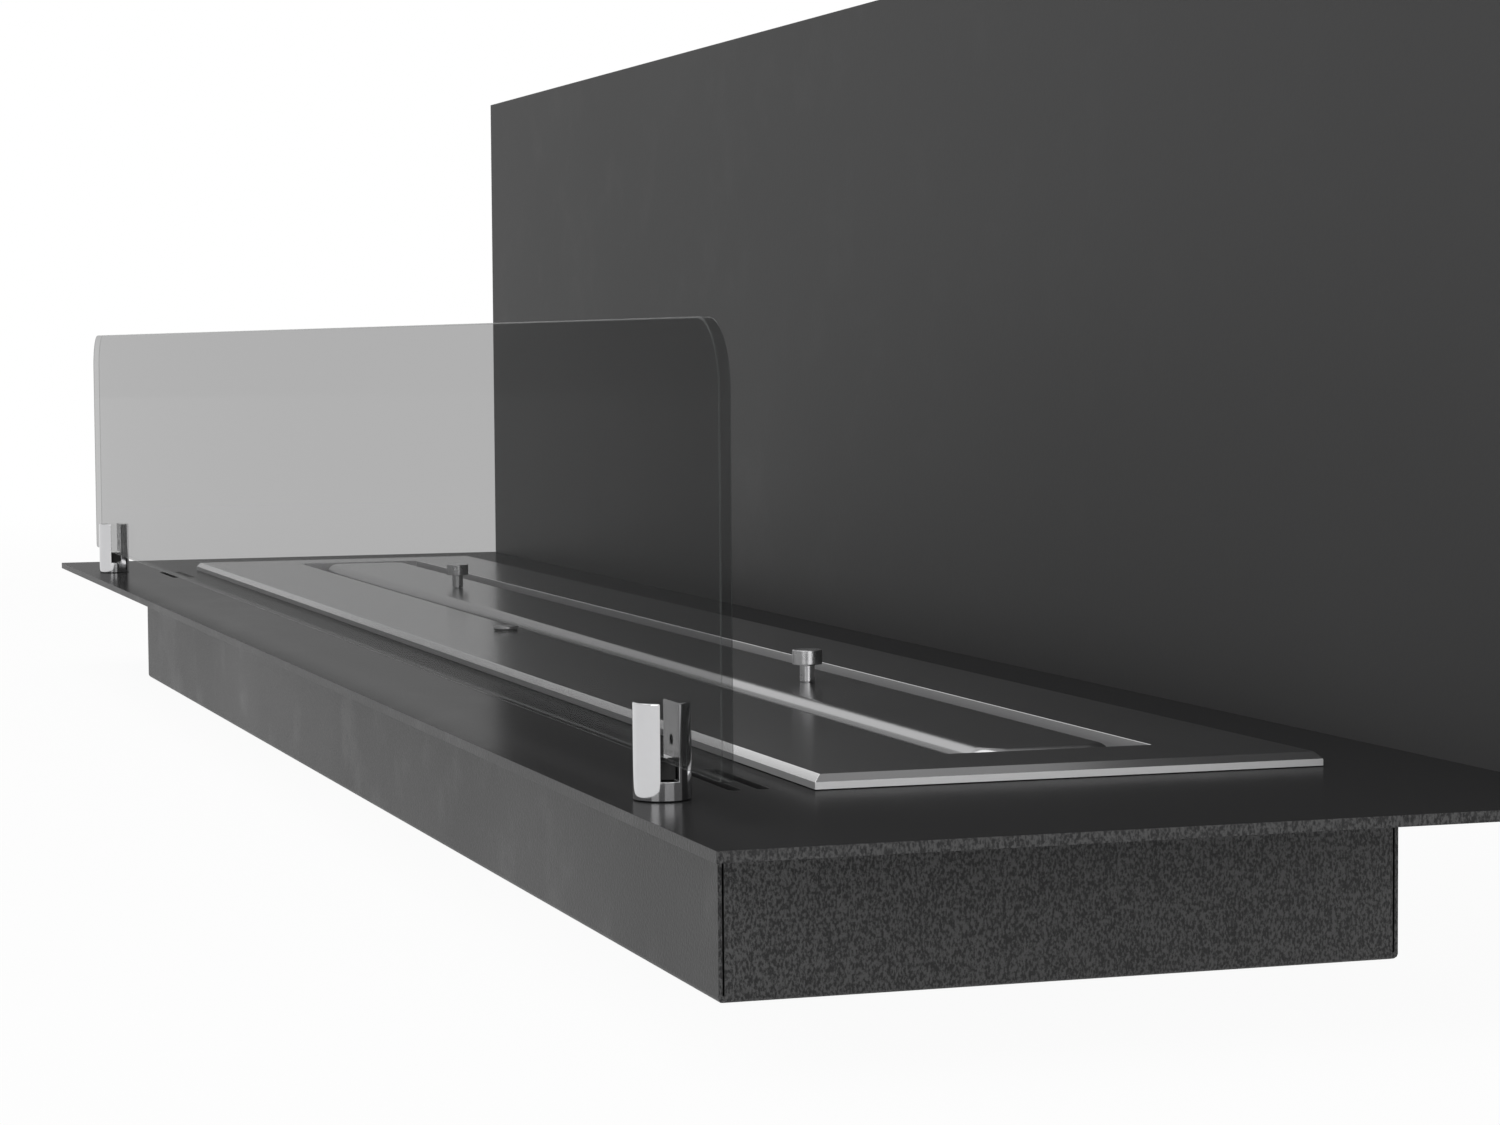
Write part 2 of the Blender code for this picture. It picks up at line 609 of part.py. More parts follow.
def lid_form():
    """Return the whole lid's form, a box of sheet that is open below with round edges."""
    low = (-LID_HALF, LID_FRONT_Y, LID_BOTTOM)
    high = (LID_HALF, LID_BACK_Y, BURNER_TOP)
    mesh = box_mesh("lid_form", low, high)
    bm = bmesh.new()
    bm.from_mesh(mesh)
    upright = [e for e in bm.edges if abs(e.verts[0].co.z - e.verts[1].co.z) > LID_SHEET]
    bmesh.ops.bevel(bm, geom=upright, offset=LID_CORNER_RADIUS, segments=5, profile=0.5,
                    affect="EDGES")
    bm.to_mesh(mesh)
    soften_top(mesh, LID_EDGE_RADIUS, 5)
    bm.clear()
    bm.from_mesh(mesh)
    open_face = [f for f in bm.faces if f.normal.z < -0.9]
    bmesh.ops.delete(bm, geom=open_face, context="FACES_ONLY")
    bm.to_mesh(mesh)
    bm.free()
    form = add_mesh_object("lid_form", mesh)
    wall = form.modifiers.new("Wall", "SOLIDIFY")
    wall.thickness = LID_SHEET
    wall.offset = -1
    wall.use_even_offset = True
    return form


def make_lid():
    """Weld the lid from a flat top, two rolled long edges and two ends with round corners."""
    form = lid_form()
    over = 2 * LID_SHEET
    bottom = LID_BOTTOM - over
    top = BURNER_TOP + over
    seam_x = LID_HALF - LID_CORNER_RADIUS - LID_SEAM_SETBACK
    seam_front = LID_FRONT_Y + LID_EDGE_RADIUS + LID_SEAM_SETBACK
    seam_back = LID_BACK_Y - LID_EDGE_RADIUS - LID_SEAM_SETBACK
    boxes = {
        "burner_lid": ((-seam_x, seam_front + FIT_GAP, bottom), (seam_x, seam_back - FIT_GAP, top)),
        "lid_edge_front": ((-seam_x, LID_FRONT_Y - over, bottom), (seam_x, seam_front, top)),
        "lid_edge_back": ((-seam_x, seam_back, bottom), (seam_x, LID_BACK_Y + over, top)),
        "lid_end_left": ((-LID_HALF - over, LID_FRONT_Y - over, bottom),
                         (-seam_x - FIT_GAP, LID_BACK_Y + over, top)),
        "lid_end_right": ((seam_x + FIT_GAP, LID_FRONT_Y - over, bottom),
                          (LID_HALF + over, LID_BACK_Y + over, top)),
    }
    for name, (low, high) in boxes.items():
        piece = box(name, low, high, "brushed_steel")
        combine(piece, form, "INTERSECT")
    for side_name, side in (("left", -1), ("right", 1)):
        x = side * KNOB_SPACING / 2
        hole = pin(f"knob_hole_{side_name}", KNOB_THREAD_RADIUS + FIT_GAP,
                   (x, LID_MID_Y, BURNER_TOP - over), (x, LID_MID_Y, top))
        cut(bpy.data.objects["burner_lid"], hole)
        make_knob(side_name, x)


def make_knob(side_name, x):
    """Turn one knob with its threaded end, and hold it with a nut under the lid."""
    foot = BURNER_TOP + FIT_GAP
    neck = foot + KNOB_STEM_HEIGHT
    top = neck + KNOB_CAP_HEIGHT
    thread_end = foot - KNOB_THREAD_LENGTH
    turned(f"knob_{side_name}",
           [(0, top), (KNOB_CAP_RADIUS - KNOB_EDGE, top), (KNOB_CAP_RADIUS, top - KNOB_EDGE),
            (KNOB_CAP_RADIUS, neck + KNOB_EDGE), (KNOB_CAP_RADIUS - KNOB_EDGE, neck),
            (KNOB_STEM_RADIUS, neck), (KNOB_STEM_RADIUS, foot), (KNOB_THREAD_RADIUS, foot),
            (KNOB_THREAD_RADIUS, thread_end), (0, thread_end)],
           (x, LID_MID_Y, 0), (0, 0, 0), "brushed_steel")
    hexagon_nut(f"knob_nut_{side_name}", x, LID_MID_Y, BURNER_TOP - LID_SHEET - FIT_GAP)


def plug_place():
    """Return the filler plug's axis as (x, y)."""
    return (PLUG_FROM_MIDDLE, SLOT_FRONT_Y - PLUG_FROM_SLOT)


def make_filler_plug():
    """Turn the filler plug, which stands on a flat seal."""
    seat = BURNER_TOP + FIT_GAP
    under_cap = seat + SEAL_THICKNESS + FIT_GAP
    cap_top = under_cap + PLUG_CAP_HEIGHT
    turned("filler_plug",
           [(0, cap_top), (PLUG_CAP_RADIUS - KNOB_EDGE, cap_top),
            (PLUG_CAP_RADIUS, cap_top - KNOB_EDGE), (PLUG_CAP_RADIUS, under_cap),
            (PLUG_STEM_RADIUS, under_cap), (PLUG_STEM_RADIUS, under_cap - PLUG_STEM_LENGTH),
            (0, under_cap - PLUG_STEM_LENGTH)],
           (*plug_place(), 0), (0, 0, 0), "brushed_steel")
    ring = [circle((0, 0), PLUG_CAP_RADIUS - KNOB_EDGE, ROUND_STEPS),
            circle((0, 0), PLUG_STEM_RADIUS + FIT_GAP, ROUND_STEPS)]
    flat_shape("filler_seal", ring, SEAL_THICKNESS, (*plug_place(), seat + SEAL_THICKNESS / 2),
               finish="rubber")


def main():
    """Build the whole fireplace."""
    make_top_plate()
    make_casing()
    make_back_panel()
    make_nuts()
    for side_name, side in (("left", -1), ("right", 1)):
        make_post(side_name, side)
    make_glass()
    make_burner_top()
    make_slot()
    make_tank()
    make_lid()
    make_filler_plug()


clear_scene()
FIREPLACE = make_collection("bio_ethanol_fireplace")
CUTTERS = make_collection("cutters")
main()
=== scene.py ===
"""Looks of a built-in bio-ethanol fireplace: its meshes, finishes, studio and camera."""
import logging
import math
from dataclasses import dataclass, replace
from enum import Enum
from typing import Callable, Iterable, Sequence

import bmesh
import bpy
from mathutils import Euler, Matrix, Vector


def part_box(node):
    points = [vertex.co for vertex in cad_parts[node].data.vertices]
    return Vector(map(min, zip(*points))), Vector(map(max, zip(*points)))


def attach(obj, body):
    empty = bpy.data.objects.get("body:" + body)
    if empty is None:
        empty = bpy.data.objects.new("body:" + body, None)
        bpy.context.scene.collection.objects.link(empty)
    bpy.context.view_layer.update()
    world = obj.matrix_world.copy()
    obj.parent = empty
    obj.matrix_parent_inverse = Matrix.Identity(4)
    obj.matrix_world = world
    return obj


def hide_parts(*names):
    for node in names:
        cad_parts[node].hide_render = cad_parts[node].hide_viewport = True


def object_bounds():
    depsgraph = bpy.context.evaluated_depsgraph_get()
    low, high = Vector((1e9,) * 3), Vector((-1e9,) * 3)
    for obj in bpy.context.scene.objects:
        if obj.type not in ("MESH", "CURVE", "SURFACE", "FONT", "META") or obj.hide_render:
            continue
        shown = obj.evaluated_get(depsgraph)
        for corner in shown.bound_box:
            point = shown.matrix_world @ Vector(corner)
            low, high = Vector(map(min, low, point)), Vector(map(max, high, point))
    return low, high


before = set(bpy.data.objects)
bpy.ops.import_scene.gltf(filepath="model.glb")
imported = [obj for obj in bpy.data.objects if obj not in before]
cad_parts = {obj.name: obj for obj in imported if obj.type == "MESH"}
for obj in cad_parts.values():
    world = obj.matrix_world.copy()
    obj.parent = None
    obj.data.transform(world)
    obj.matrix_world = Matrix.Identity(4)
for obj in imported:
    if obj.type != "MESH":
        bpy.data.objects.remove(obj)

log = logging.getLogger("fireplace")

CAD_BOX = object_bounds()

Point = tuple[float, float, float]
Outline = list[tuple[float, float]]

MERGE = 1e-6  # points nearer than this, in metres, are one
NODE_MERGE = MERGE * 5  # the same for the loose triangles of a CAD node
NEAR = MERGE * 10  # how far a measured edge may lie from its plane
FULL_TURN = 2 * math.pi
CREASE = math.radians(32)  # edges sharper than this stay sharp
FLAT = math.radians(1.5)  # faces that meet at less than this become one
FACING = 0.9  # a face looks along an axis if more of its unit normal than this does
TILTED = 0.5  # the same, for faces that may lean


# ---- shader expressions

class Socket:
    """A number that varies over a surface, on which Python's operators build Math nodes."""

    def __init__(self, shader: "Shader", output: bpy.types.NodeSocket) -> None:
        """Wrap a node's output."""
        self.shader = shader
        self.output = output

    def _math(self, operation: str, *values: "Socket | float") -> "Socket":
        """Add a Math node that works on the given values."""
        inputs = dict(enumerate(values))
        return self.shader.node("ShaderNodeMath", {"operation": operation}, inputs)

    def __add__(self, other: "Socket | float") -> "Socket":
        """Return the sum."""
        return self._math("ADD", self, other)

    def __sub__(self, other: "Socket | float") -> "Socket":
        """Return the difference."""
        return self._math("SUBTRACT", self, other)

    def __rsub__(self, other: float) -> "Socket":
        """Return a number less this socket."""
        return self._math("SUBTRACT", other, self)

    def __mul__(self, other: "Socket | float") -> "Socket":
        """Return the product."""
        return self._math("MULTIPLY", self, other)

    def __pow__(self, other: "Socket | float") -> "Socket":
        """Return the power."""
        return self._math("POWER", self, other)

    __radd__ = __add__
    __rmul__ = __mul__

    def above(self, threshold: float, softness: float) -> "Socket":
        """Return a smooth step from 0 to 1 across a threshold.

        Args:
            threshold: The value at the middle of the step.
            softness: Half the width of the step.

        Returns:
            The stepped value.
        """
        inputs = {"Value": self, "From Min": threshold - softness, "From Max": threshold + softness}
        return self.shader.node("ShaderNodeMapRange", {"interpolation_type": "SMOOTHSTEP"}, inputs)


class Shader:
    """The node tree of one material or world."""

    def __init__(self, owner: bpy.types.Material | bpy.types.World) -> None:
        """Empty the owner's node tree.

        Args:
            owner: The material or world.
        """
        owner.use_nodes = True
        self.tree = owner.node_tree
        self.tree.nodes.clear()

    def node(self, kind: str, settings: dict | None = None, inputs: dict | None = None,
             output: str | int = 0) -> Socket:
        """Add a node.

        Args:
            kind: The node's type.
            settings: The node's own settings, set before its sockets.
            inputs: Values or sockets, by the socket's name or number.
            output: The name or number of the output to return.

        Returns:
            The chosen output.
        """
        made = self.tree.nodes.new(kind)
        for key, value in (settings or {}).items():
            setattr(made, key, value)
        for key, value in (inputs or {}).items():
            if isinstance(value, Socket):
                self.tree.links.new(value.output, made.inputs[key])
            else:
                made.inputs[key].default_value = value
        return Socket(self, made.outputs[output] if made.outputs else None)

    def place(self, centre: Point = (0, 0, 0), scale: Point = (1, 1, 1)) -> Socket:
        """Return Object coordinates about a centre, stretched by a scale.

        Args:
            centre: The point that becomes the pattern's own origin.
            scale: How many units of pattern one metre holds, along each axis.

        Returns:
            The mapped coordinates.
        """
        here = self.node("ShaderNodeTexCoord", output="Object")
        offset = tuple(-c * s for c, s in zip(centre, scale))
        return self.node("ShaderNodeMapping", {}, {"Vector": here, "Location": offset, "Scale": scale})

    def noise(self, where: Socket, scale: float, detail: float = 3.0, rough: float = 0.5) -> Socket:
        """Return a noise between 0 and 1."""
        inputs = {"Vector": where, "Scale": scale, "Detail": detail, "Roughness": rough}
        return self.node("ShaderNodeTexNoise", {}, inputs, "Fac")

    def blend(self, amount: Socket, low: Sequence[float], high: Sequence[float]) -> Socket:
        """Return a colour between two colours.

        Args:
            amount: 0 for the first colour, 1 for the second.
            low: The first colour.
            high: The second colour.

        Returns:
            The mixed colour.
        """
        inputs = {0: amount, 6: (*low, 1.0), 7: (*high, 1.0)}
        return self.node("ShaderNodeMix", {"data_type": "RGBA"}, inputs, 2)

    def bump(self, height: Socket, depth: float, over: Socket | None = None) -> Socket:
        """Return the normal that a height pattern gives.

        Args:
            height: The pattern, 0 to 1.
            depth: The pattern's depth in metres.
            over: A normal from another bump that lies under this one.

        Returns:
            The normal.
        """
        inputs = {"Height": height, "Distance": depth, "Strength": 1.0}
        if over:
            inputs["Normal"] = over
        return self.node("ShaderNodeBump", {}, inputs)

    def surface(self, inputs: dict) -> Socket:
        """Return a Principled shader."""
        return self.node("ShaderNodeBsdfPrincipled", {}, inputs)

    def output(self, surface: Socket) -> None:
        """Send a shader to the material's output."""
        self.node("ShaderNodeOutputMaterial", {}, {"Surface": surface})


def new_material(name: str) -> tuple[bpy.types.Material, Shader]:
    """Return a new material and its empty node tree."""
    material = bpy.data.materials.new(name)
    return material, Shader(material)


# ---- finishes

@dataclass(frozen=True)
class PowderCoat:
    """Black powder coat: a satin film over an orange-peel ground, with a fine grain."""

    name: str
    slot: str
    colour: Point = (0.0185, 0.0185, 0.0190)
    pale: Point = (0.0235, 0.0235, 0.0240)
    roughness: float = 0.38
    gloss: float = 0.25
    spread: float = 0.10
    peel_scale: float = 380.0
    peel_depth: float = 0.000035
    grain_scale: float = 1500.0
    grain_depth: float = 0.000008
    cloud_scale: float = 5.0
    handled_scale: float = 23.0
    mottle: float = 0.0
    sheen: float = 1.0
    upright: float = 1.0

    def material(self) -> bpy.types.Material:
        """Build the finish.

        Returns:
            The finish's material.
        """
        material, shader = new_material(self.name)
        here = shader.place(scale=(1, 1, self.upright))
        cloud = shader.noise(here, self.cloud_scale, detail=4.0)
        peel = shader.noise(here, self.peel_scale, detail=2.0, rough=0.55)
        grain = shader.noise(here, self.grain_scale, detail=2.0, rough=0.6)
        handled = shader.noise(here, self.handled_scale, detail=5.0, rough=0.62)
        worn = handled.above(threshold=0.62, softness=0.12)
        tone = cloud * (1 - self.mottle) + peel.above(threshold=0.5, softness=0.12) * self.mottle
        colour = shader.blend(tone, self.colour, self.pale)
        roughness = (self.roughness + (cloud - 0.5) * self.spread + (grain - 0.5) * self.spread
                     - worn * (self.spread * 0.4))
        normal = shader.bump(grain, self.grain_depth, shader.bump(peel, self.peel_depth))
        film = {"Base Color": colour, "Roughness": roughness, "Normal": normal}
        matt = shader.surface({**film, "Specular IOR Level": 0.0})
        satin = shader.surface({**film, "Specular IOR Level": self.gloss})
        shader.output(shader.node("ShaderNodeMixShader", {}, {0: self.sheen, 1: matt, 2: satin}))
        return material


@dataclass(frozen=True)
class BrushedSteel:
    """Satin stainless steel, with its brush lines along X."""

    name: str
    slot: str = "brushed_steel"
    colour: Point = (0.44, 0.44, 0.445)
    pale: Point = (0.51, 0.51, 0.515)
    roughness: float = 0.21
    spread: float = 0.06
    depth: float = 0.0000022
    grazing: float = 0.74
    fine_lines: Point = (14, 3200, 3200)
    coarse_lines: Point = (4, 520, 520)
    stain_scale: float = 9.0

    def material(self) -> bpy.types.Material:
        """Build the finish.

        Returns:
            The finish's material.
        """
        material, shader = new_material(self.name)
        fine = shader.noise(shader.place(scale=self.fine_lines), 1.0, detail=3.0, rough=0.6)
        coarse = shader.noise(shader.place(scale=self.coarse_lines), 1.0, detail=2.0)
        stain = shader.noise(shader.place(), self.stain_scale, detail=4.0)
        lines = fine * 0.6 + coarse * 0.4
        roughness = self.roughness + (lines - 0.5) * self.spread + (stain - 0.5) * (self.spread * 0.6)
        shader.output(shader.surface({
            "Base Color": shader.blend(lines * 0.7 + stain * 0.3, self.colour, self.pale),
            "Roughness": roughness, "Metallic": 1.0, "Specular Tint": (*(self.grazing,) * 3, 1.0),
            "Normal": shader.bump(lines, self.depth)}))
        return material


@dataclass(frozen=True)
class TurnedSteel:
    """Stainless steel off the lathe, with fine rings about an upright axis."""

    name: str
    centre: tuple[float, float]
    slot: str = "brushed_steel"
    colour: Point = (0.38, 0.38, 0.385)
    pale: Point = (0.47, 0.47, 0.475)
    roughness: float = 0.28
    ring_pitch: float = 0.00028
    depth: float = 0.0000035
    side_lines: Point = (120, 120, 5200)
    smudge_scale: float = 260.0
    waves_per_scale: float = 3.0

    def material(self) -> bpy.types.Material:
        """Build the finish.

        Returns:
            The finish's material.
        """
        material, shader = new_material(self.name)
        here = shader.place((*self.centre, 0.0))
        settings = {"wave_type": "RINGS", "rings_direction": "Z", "wave_profile": "SIN"}
        scale = 1 / self.ring_pitch / self.waves_per_scale
        inputs = {"Vector": here, "Scale": scale, "Distortion": 0.6, "Detail": 2.0}
        rings = shader.node("ShaderNodeTexWave", settings, inputs, "Fac")
        up_the_side = shader.noise(shader.place(scale=self.side_lines), 1.0, detail=2.0)
        lines = rings * 0.5 + up_the_side * 0.5
        smudge = shader.noise(here, self.smudge_scale, detail=3.0)
        shader.output(shader.surface({
            "Base Color": shader.blend(lines, self.colour, self.pale),
            "Roughness": self.roughness + (smudge - 0.5) * 0.12 + (lines - 0.5) * 0.05,
            "Metallic": 1.0, "Normal": shader.bump(lines, self.depth)}))
        return material


@dataclass(frozen=True)
class Plating:
    """A plated finish, bright chrome or duller zinc, with faint clouds and pinpoint marks."""

    name: str
    slot: str
    colour: Point
    pale: Point
    roughness: float
    spread: float
    cloud_scale: float
    marks_per_cloud: float = 14.0
    depth: float = 0.0000015

    def material(self) -> bpy.types.Material:
        """Build the finish.

        Returns:
            The finish's material.
        """
        material, shader = new_material(self.name)
        here = shader.place()
        cloud = shader.noise(here, self.cloud_scale, detail=4.0, rough=0.6)
        specks = shader.noise(here, self.cloud_scale * self.marks_per_cloud, detail=2.0)
        marks = specks.above(threshold=0.68, softness=0.05)
        shader.output(shader.surface({
            "Base Color": shader.blend(cloud, self.colour, self.pale),
            "Roughness": self.roughness + cloud * self.spread + marks * (self.spread * 0.5),
            "Metallic": 1.0, "Normal": shader.bump(cloud + marks * 0.3, self.depth)}))
        return material


@dataclass(frozen=True)
class SmokedGlass:
    """A thin smoked pane that lets light through, darker and glossier at a glancing view."""

    name: str = "smoked_pane"
    slot: str = "smoked_glass"
    colour: Point = (0.012, 0.013, 0.013)
    dust_colour: Point = (0.05, 0.05, 0.05)
    facing_alpha: float = 0.27
    glancing_alpha: float = 0.42
    roughness: float = 0.02
    index: float = 1.04
    smear_scale: float = 16.0
    dust_scale: float = 420.0

    def material(self) -> bpy.types.Material:
        """Build the finish.

        Returns:
            The finish's material.
        """
        material, shader = new_material(self.name)
        here = shader.place()
        smear = shader.noise(here, self.smear_scale, detail=4.0, rough=0.6)
        dust = shader.noise(here, self.dust_scale, detail=2.0).above(threshold=0.74, softness=0.05)
        facing = shader.node("ShaderNodeLayerWeight", {}, {"Blend": 0.5}, "Facing")
        alpha = self.facing_alpha + facing ** 2.0 * (self.glancing_alpha - self.facing_alpha)
        shader.output(shader.surface({
            "Base Color": shader.blend(dust, self.colour, self.dust_colour),
            "Roughness": self.roughness + smear * 0.03, "Alpha": alpha, "IOR": self.index}))
        return material


@dataclass(frozen=True)
class GlassEdge:
    """The ground and polished edge of the pane, where the tint gathers."""

    name: str = "pane_edge"
    slot: str = "smoked_glass"
    colour: Point = (0.020, 0.024, 0.023)
    pale: Point = (0.045, 0.052, 0.050)
    roughness: float = 0.12
    spread: float = 0.16
    gloss: float = 0.2
    alpha: float = 0.50
    grain_scale: float = 900.0
    depth: float = 0.000004

    def material(self) -> bpy.types.Material:
        """Build the finish.

        Returns:
            The finish's material.
        """
        material, shader = new_material(self.name)
        ground = shader.noise(shader.place(), self.grain_scale, detail=3.0)
        shader.output(shader.surface({
            "Base Color": shader.blend(ground, self.colour, self.pale),
            "Roughness": self.roughness + ground * self.spread, "Alpha": self.alpha,
            "Specular IOR Level": self.gloss, "Normal": shader.bump(ground, self.depth)}))
        return material


@dataclass(frozen=True)
class Rubber:
    """Matt black rubber with a moulded grain."""

    name: str = "black_rubber"
    slot: str = "rubber"
    colour: Point = (0.010, 0.010, 0.010)
    pale: Point = (0.022, 0.022, 0.022)
    roughness: float = 0.70
    spread: float = 0.2
    grain_scale: float = 2200.0
    depth: float = 0.00003

    def material(self) -> bpy.types.Material:
        """Build the finish.

        Returns:
            The finish's material.
        """
        material, shader = new_material(self.name)
        grain = shader.noise(shader.place(), self.grain_scale, detail=3.0)
        shader.output(shader.surface({
            "Base Color": shader.blend(grain, self.colour, self.pale),
            "Roughness": self.roughness + grain * self.spread, "Normal": shader.bump(grain, self.depth)}))
        return material


@dataclass(frozen=True)
class CeramicWool:
    """Off-white ceramic fibre, matted, with slight scorch marks on top and painted shade in the hollows of
    its tufts.
    """

    name: str = "ceramic_wool"
    slot: str = "ceramic_wool"
    colour: Point = (0.78, 0.76, 0.71)
    scorch_and_shade_colour: Point = (0.40, 0.36, 0.31)
    roughness: float = 0.86
    spread: float = 0.1
    fibre_lines: Point = (240, 900, 900)
    fibre_depth: float = 0.0004
    tuft_scale: float = 95.0
    tuft_depth: float = 0.0010
    scorch_scale: float = 14.0

    def material(self) -> bpy.types.Material:
        """Build the finish.

        Returns:
            The finish's material.
        """
        material, shader = new_material(self.name)
        fibre = shader.noise(shader.place(scale=self.fibre_lines), 1.0, detail=5.0, rough=0.7)
        tuft = shader.noise(shader.place(), self.tuft_scale, detail=4.0, rough=0.6)
        patch = shader.noise(shader.place(), self.scorch_scale, detail=5.0, rough=0.6)
        scorch = patch.above(threshold=0.56, softness=0.14)
        # Random scorch patches, plus painted shade in the hollows of the tufts.
        scorch_and_hollow_shade = scorch * 0.55 + (1 - tuft) * 0.25
        tufted = shader.bump(tuft, self.tuft_depth)
        shader.output(shader.surface({
            "Base Color": shader.blend(scorch_and_hollow_shade, self.colour, self.scorch_and_shade_colour),
            "Roughness": self.roughness + fibre * self.spread,
            "Normal": shader.bump(fibre, self.fibre_depth, tufted)}))
        return material


DECK_COAT = PowderCoat("deck_coat", "black_powder_coat", colour=(0.0240, 0.0240, 0.0245),
                       pale=(0.0290, 0.0290, 0.0295), roughness=0.20, gloss=0.06, spread=0.05,
                       peel_depth=0.000015, sheen=0.34)
PANEL_COAT = PowderCoat("panel_coat", "black_powder_coat", colour=(0.0585, 0.0585, 0.0590),
                        pale=(0.0655, 0.0655, 0.0660), gloss=0.08, sheen=0.6)
CASING_COAT = PowderCoat("casing_coat", "black_hammered_coat", colour=(0.024, 0.024, 0.0245),
                         pale=(0.031, 0.031, 0.0315), roughness=0.46, spread=0.12,
                         peel_scale=800.0, peel_depth=0.0002, grain_depth=0.00002, mottle=0.6)
LEATHER_COAT = PowderCoat("leather_coat", "black_hammered_coat", colour=(0.021, 0.021, 0.0215),
                          pale=(0.114, 0.114, 0.1145), roughness=0.50, spread=0.12,
                          peel_scale=1250.0, peel_depth=0.0006, grain_scale=2400.0,
                          grain_depth=0.0001, mottle=1.0, upright=0.6)
# A darker copy of the leather coat for the deck's end edges: painted shade.
DECK_END_SHADED_COAT = replace(LEATHER_COAT, name="deck_end_painted_shade", colour=(0.014, 0.014, 0.0145),
                   pale=(0.074, 0.074, 0.0745))
STEEL = BrushedSteel("satin_steel")
# A paler copy of the satin steel for the rim's front and back chamfers: a painted highlight.
CHAMFER_STEEL_HIGHLIGHTED = BrushedSteel("chamfer_painted_highlight", colour=(0.68, 0.68, 0.685), pale=(0.76, 0.76, 0.765),
                             roughness=0.16, grazing=1.0)
# A rougher copy of the satin steel for the upright faces; its paler colour is painted light.
UPRIGHT_STEEL_LIT = BrushedSteel("upright_steel_painted_light", colour=(0.56, 0.56, 0.565), pale=(0.64, 0.64, 0.645),
                         roughness=0.5)
CHROME = Plating("bright_chrome", "chrome", colour=(0.53, 0.53, 0.54), pale=(0.62, 0.62, 0.63),
                 roughness=0.05, spread=0.06, cloud_scale=60.0)
MILLED = Plating("milled_chrome", "chrome", colour=(0.80, 0.80, 0.81), pale=(0.90, 0.90, 0.91),
                 roughness=0.09, spread=0.06, cloud_scale=700.0)
BLACKENED = Plating("blackened_steel", "zinc", colour=(0.018, 0.018, 0.019),
                    pale=(0.035, 0.035, 0.036), roughness=0.34, spread=0.2, cloud_scale=400.0)
ZINC = Plating("zinc_plate", "zinc", colour=(0.42, 0.43, 0.46), pale=(0.58, 0.59, 0.60),
               roughness=0.28, spread=0.18, cloud_scale=150.0)
GLASS = SmokedGlass()
GLASS_EDGE = GlassEdge()
RUBBER = Rubber()
WOOL = CeramicWool()

Finish = PowderCoat | BrushedSteel | TurnedSteel | Plating | SmokedGlass | GlassEdge | Rubber | CeramicWool


def material_for(finish: Finish) -> bpy.types.Material:
    """Return a finish's material, made on its first use."""
    return bpy.data.materials.get(finish.name) or finish.material()


# ---- shaping

class Side(Enum):
    """The two ends of the fireplace."""

    LEFT = -1
    RIGHT = 1

    @property
    def label(self) -> str:
        """The end's name, as the nodes spell it."""
        return self.name.lower()


def arc(centre: tuple[float, float], radius: float, start: float, end: float, steps: int) -> Outline:
    """Return points along an arc.

    Args:
        centre: The arc's centre.
        radius: The arc's radius.
        start: The first angle, in degrees.
        end: The last angle, in degrees.
        steps: How many chords the arc has.

    Returns:
        The points, both ends included.
    """
    angles = (math.radians(start + (end - start) * i / steps) for i in range(steps + 1))
    return [(centre[0] + radius * math.cos(a), centre[1] + radius * math.sin(a)) for a in angles]


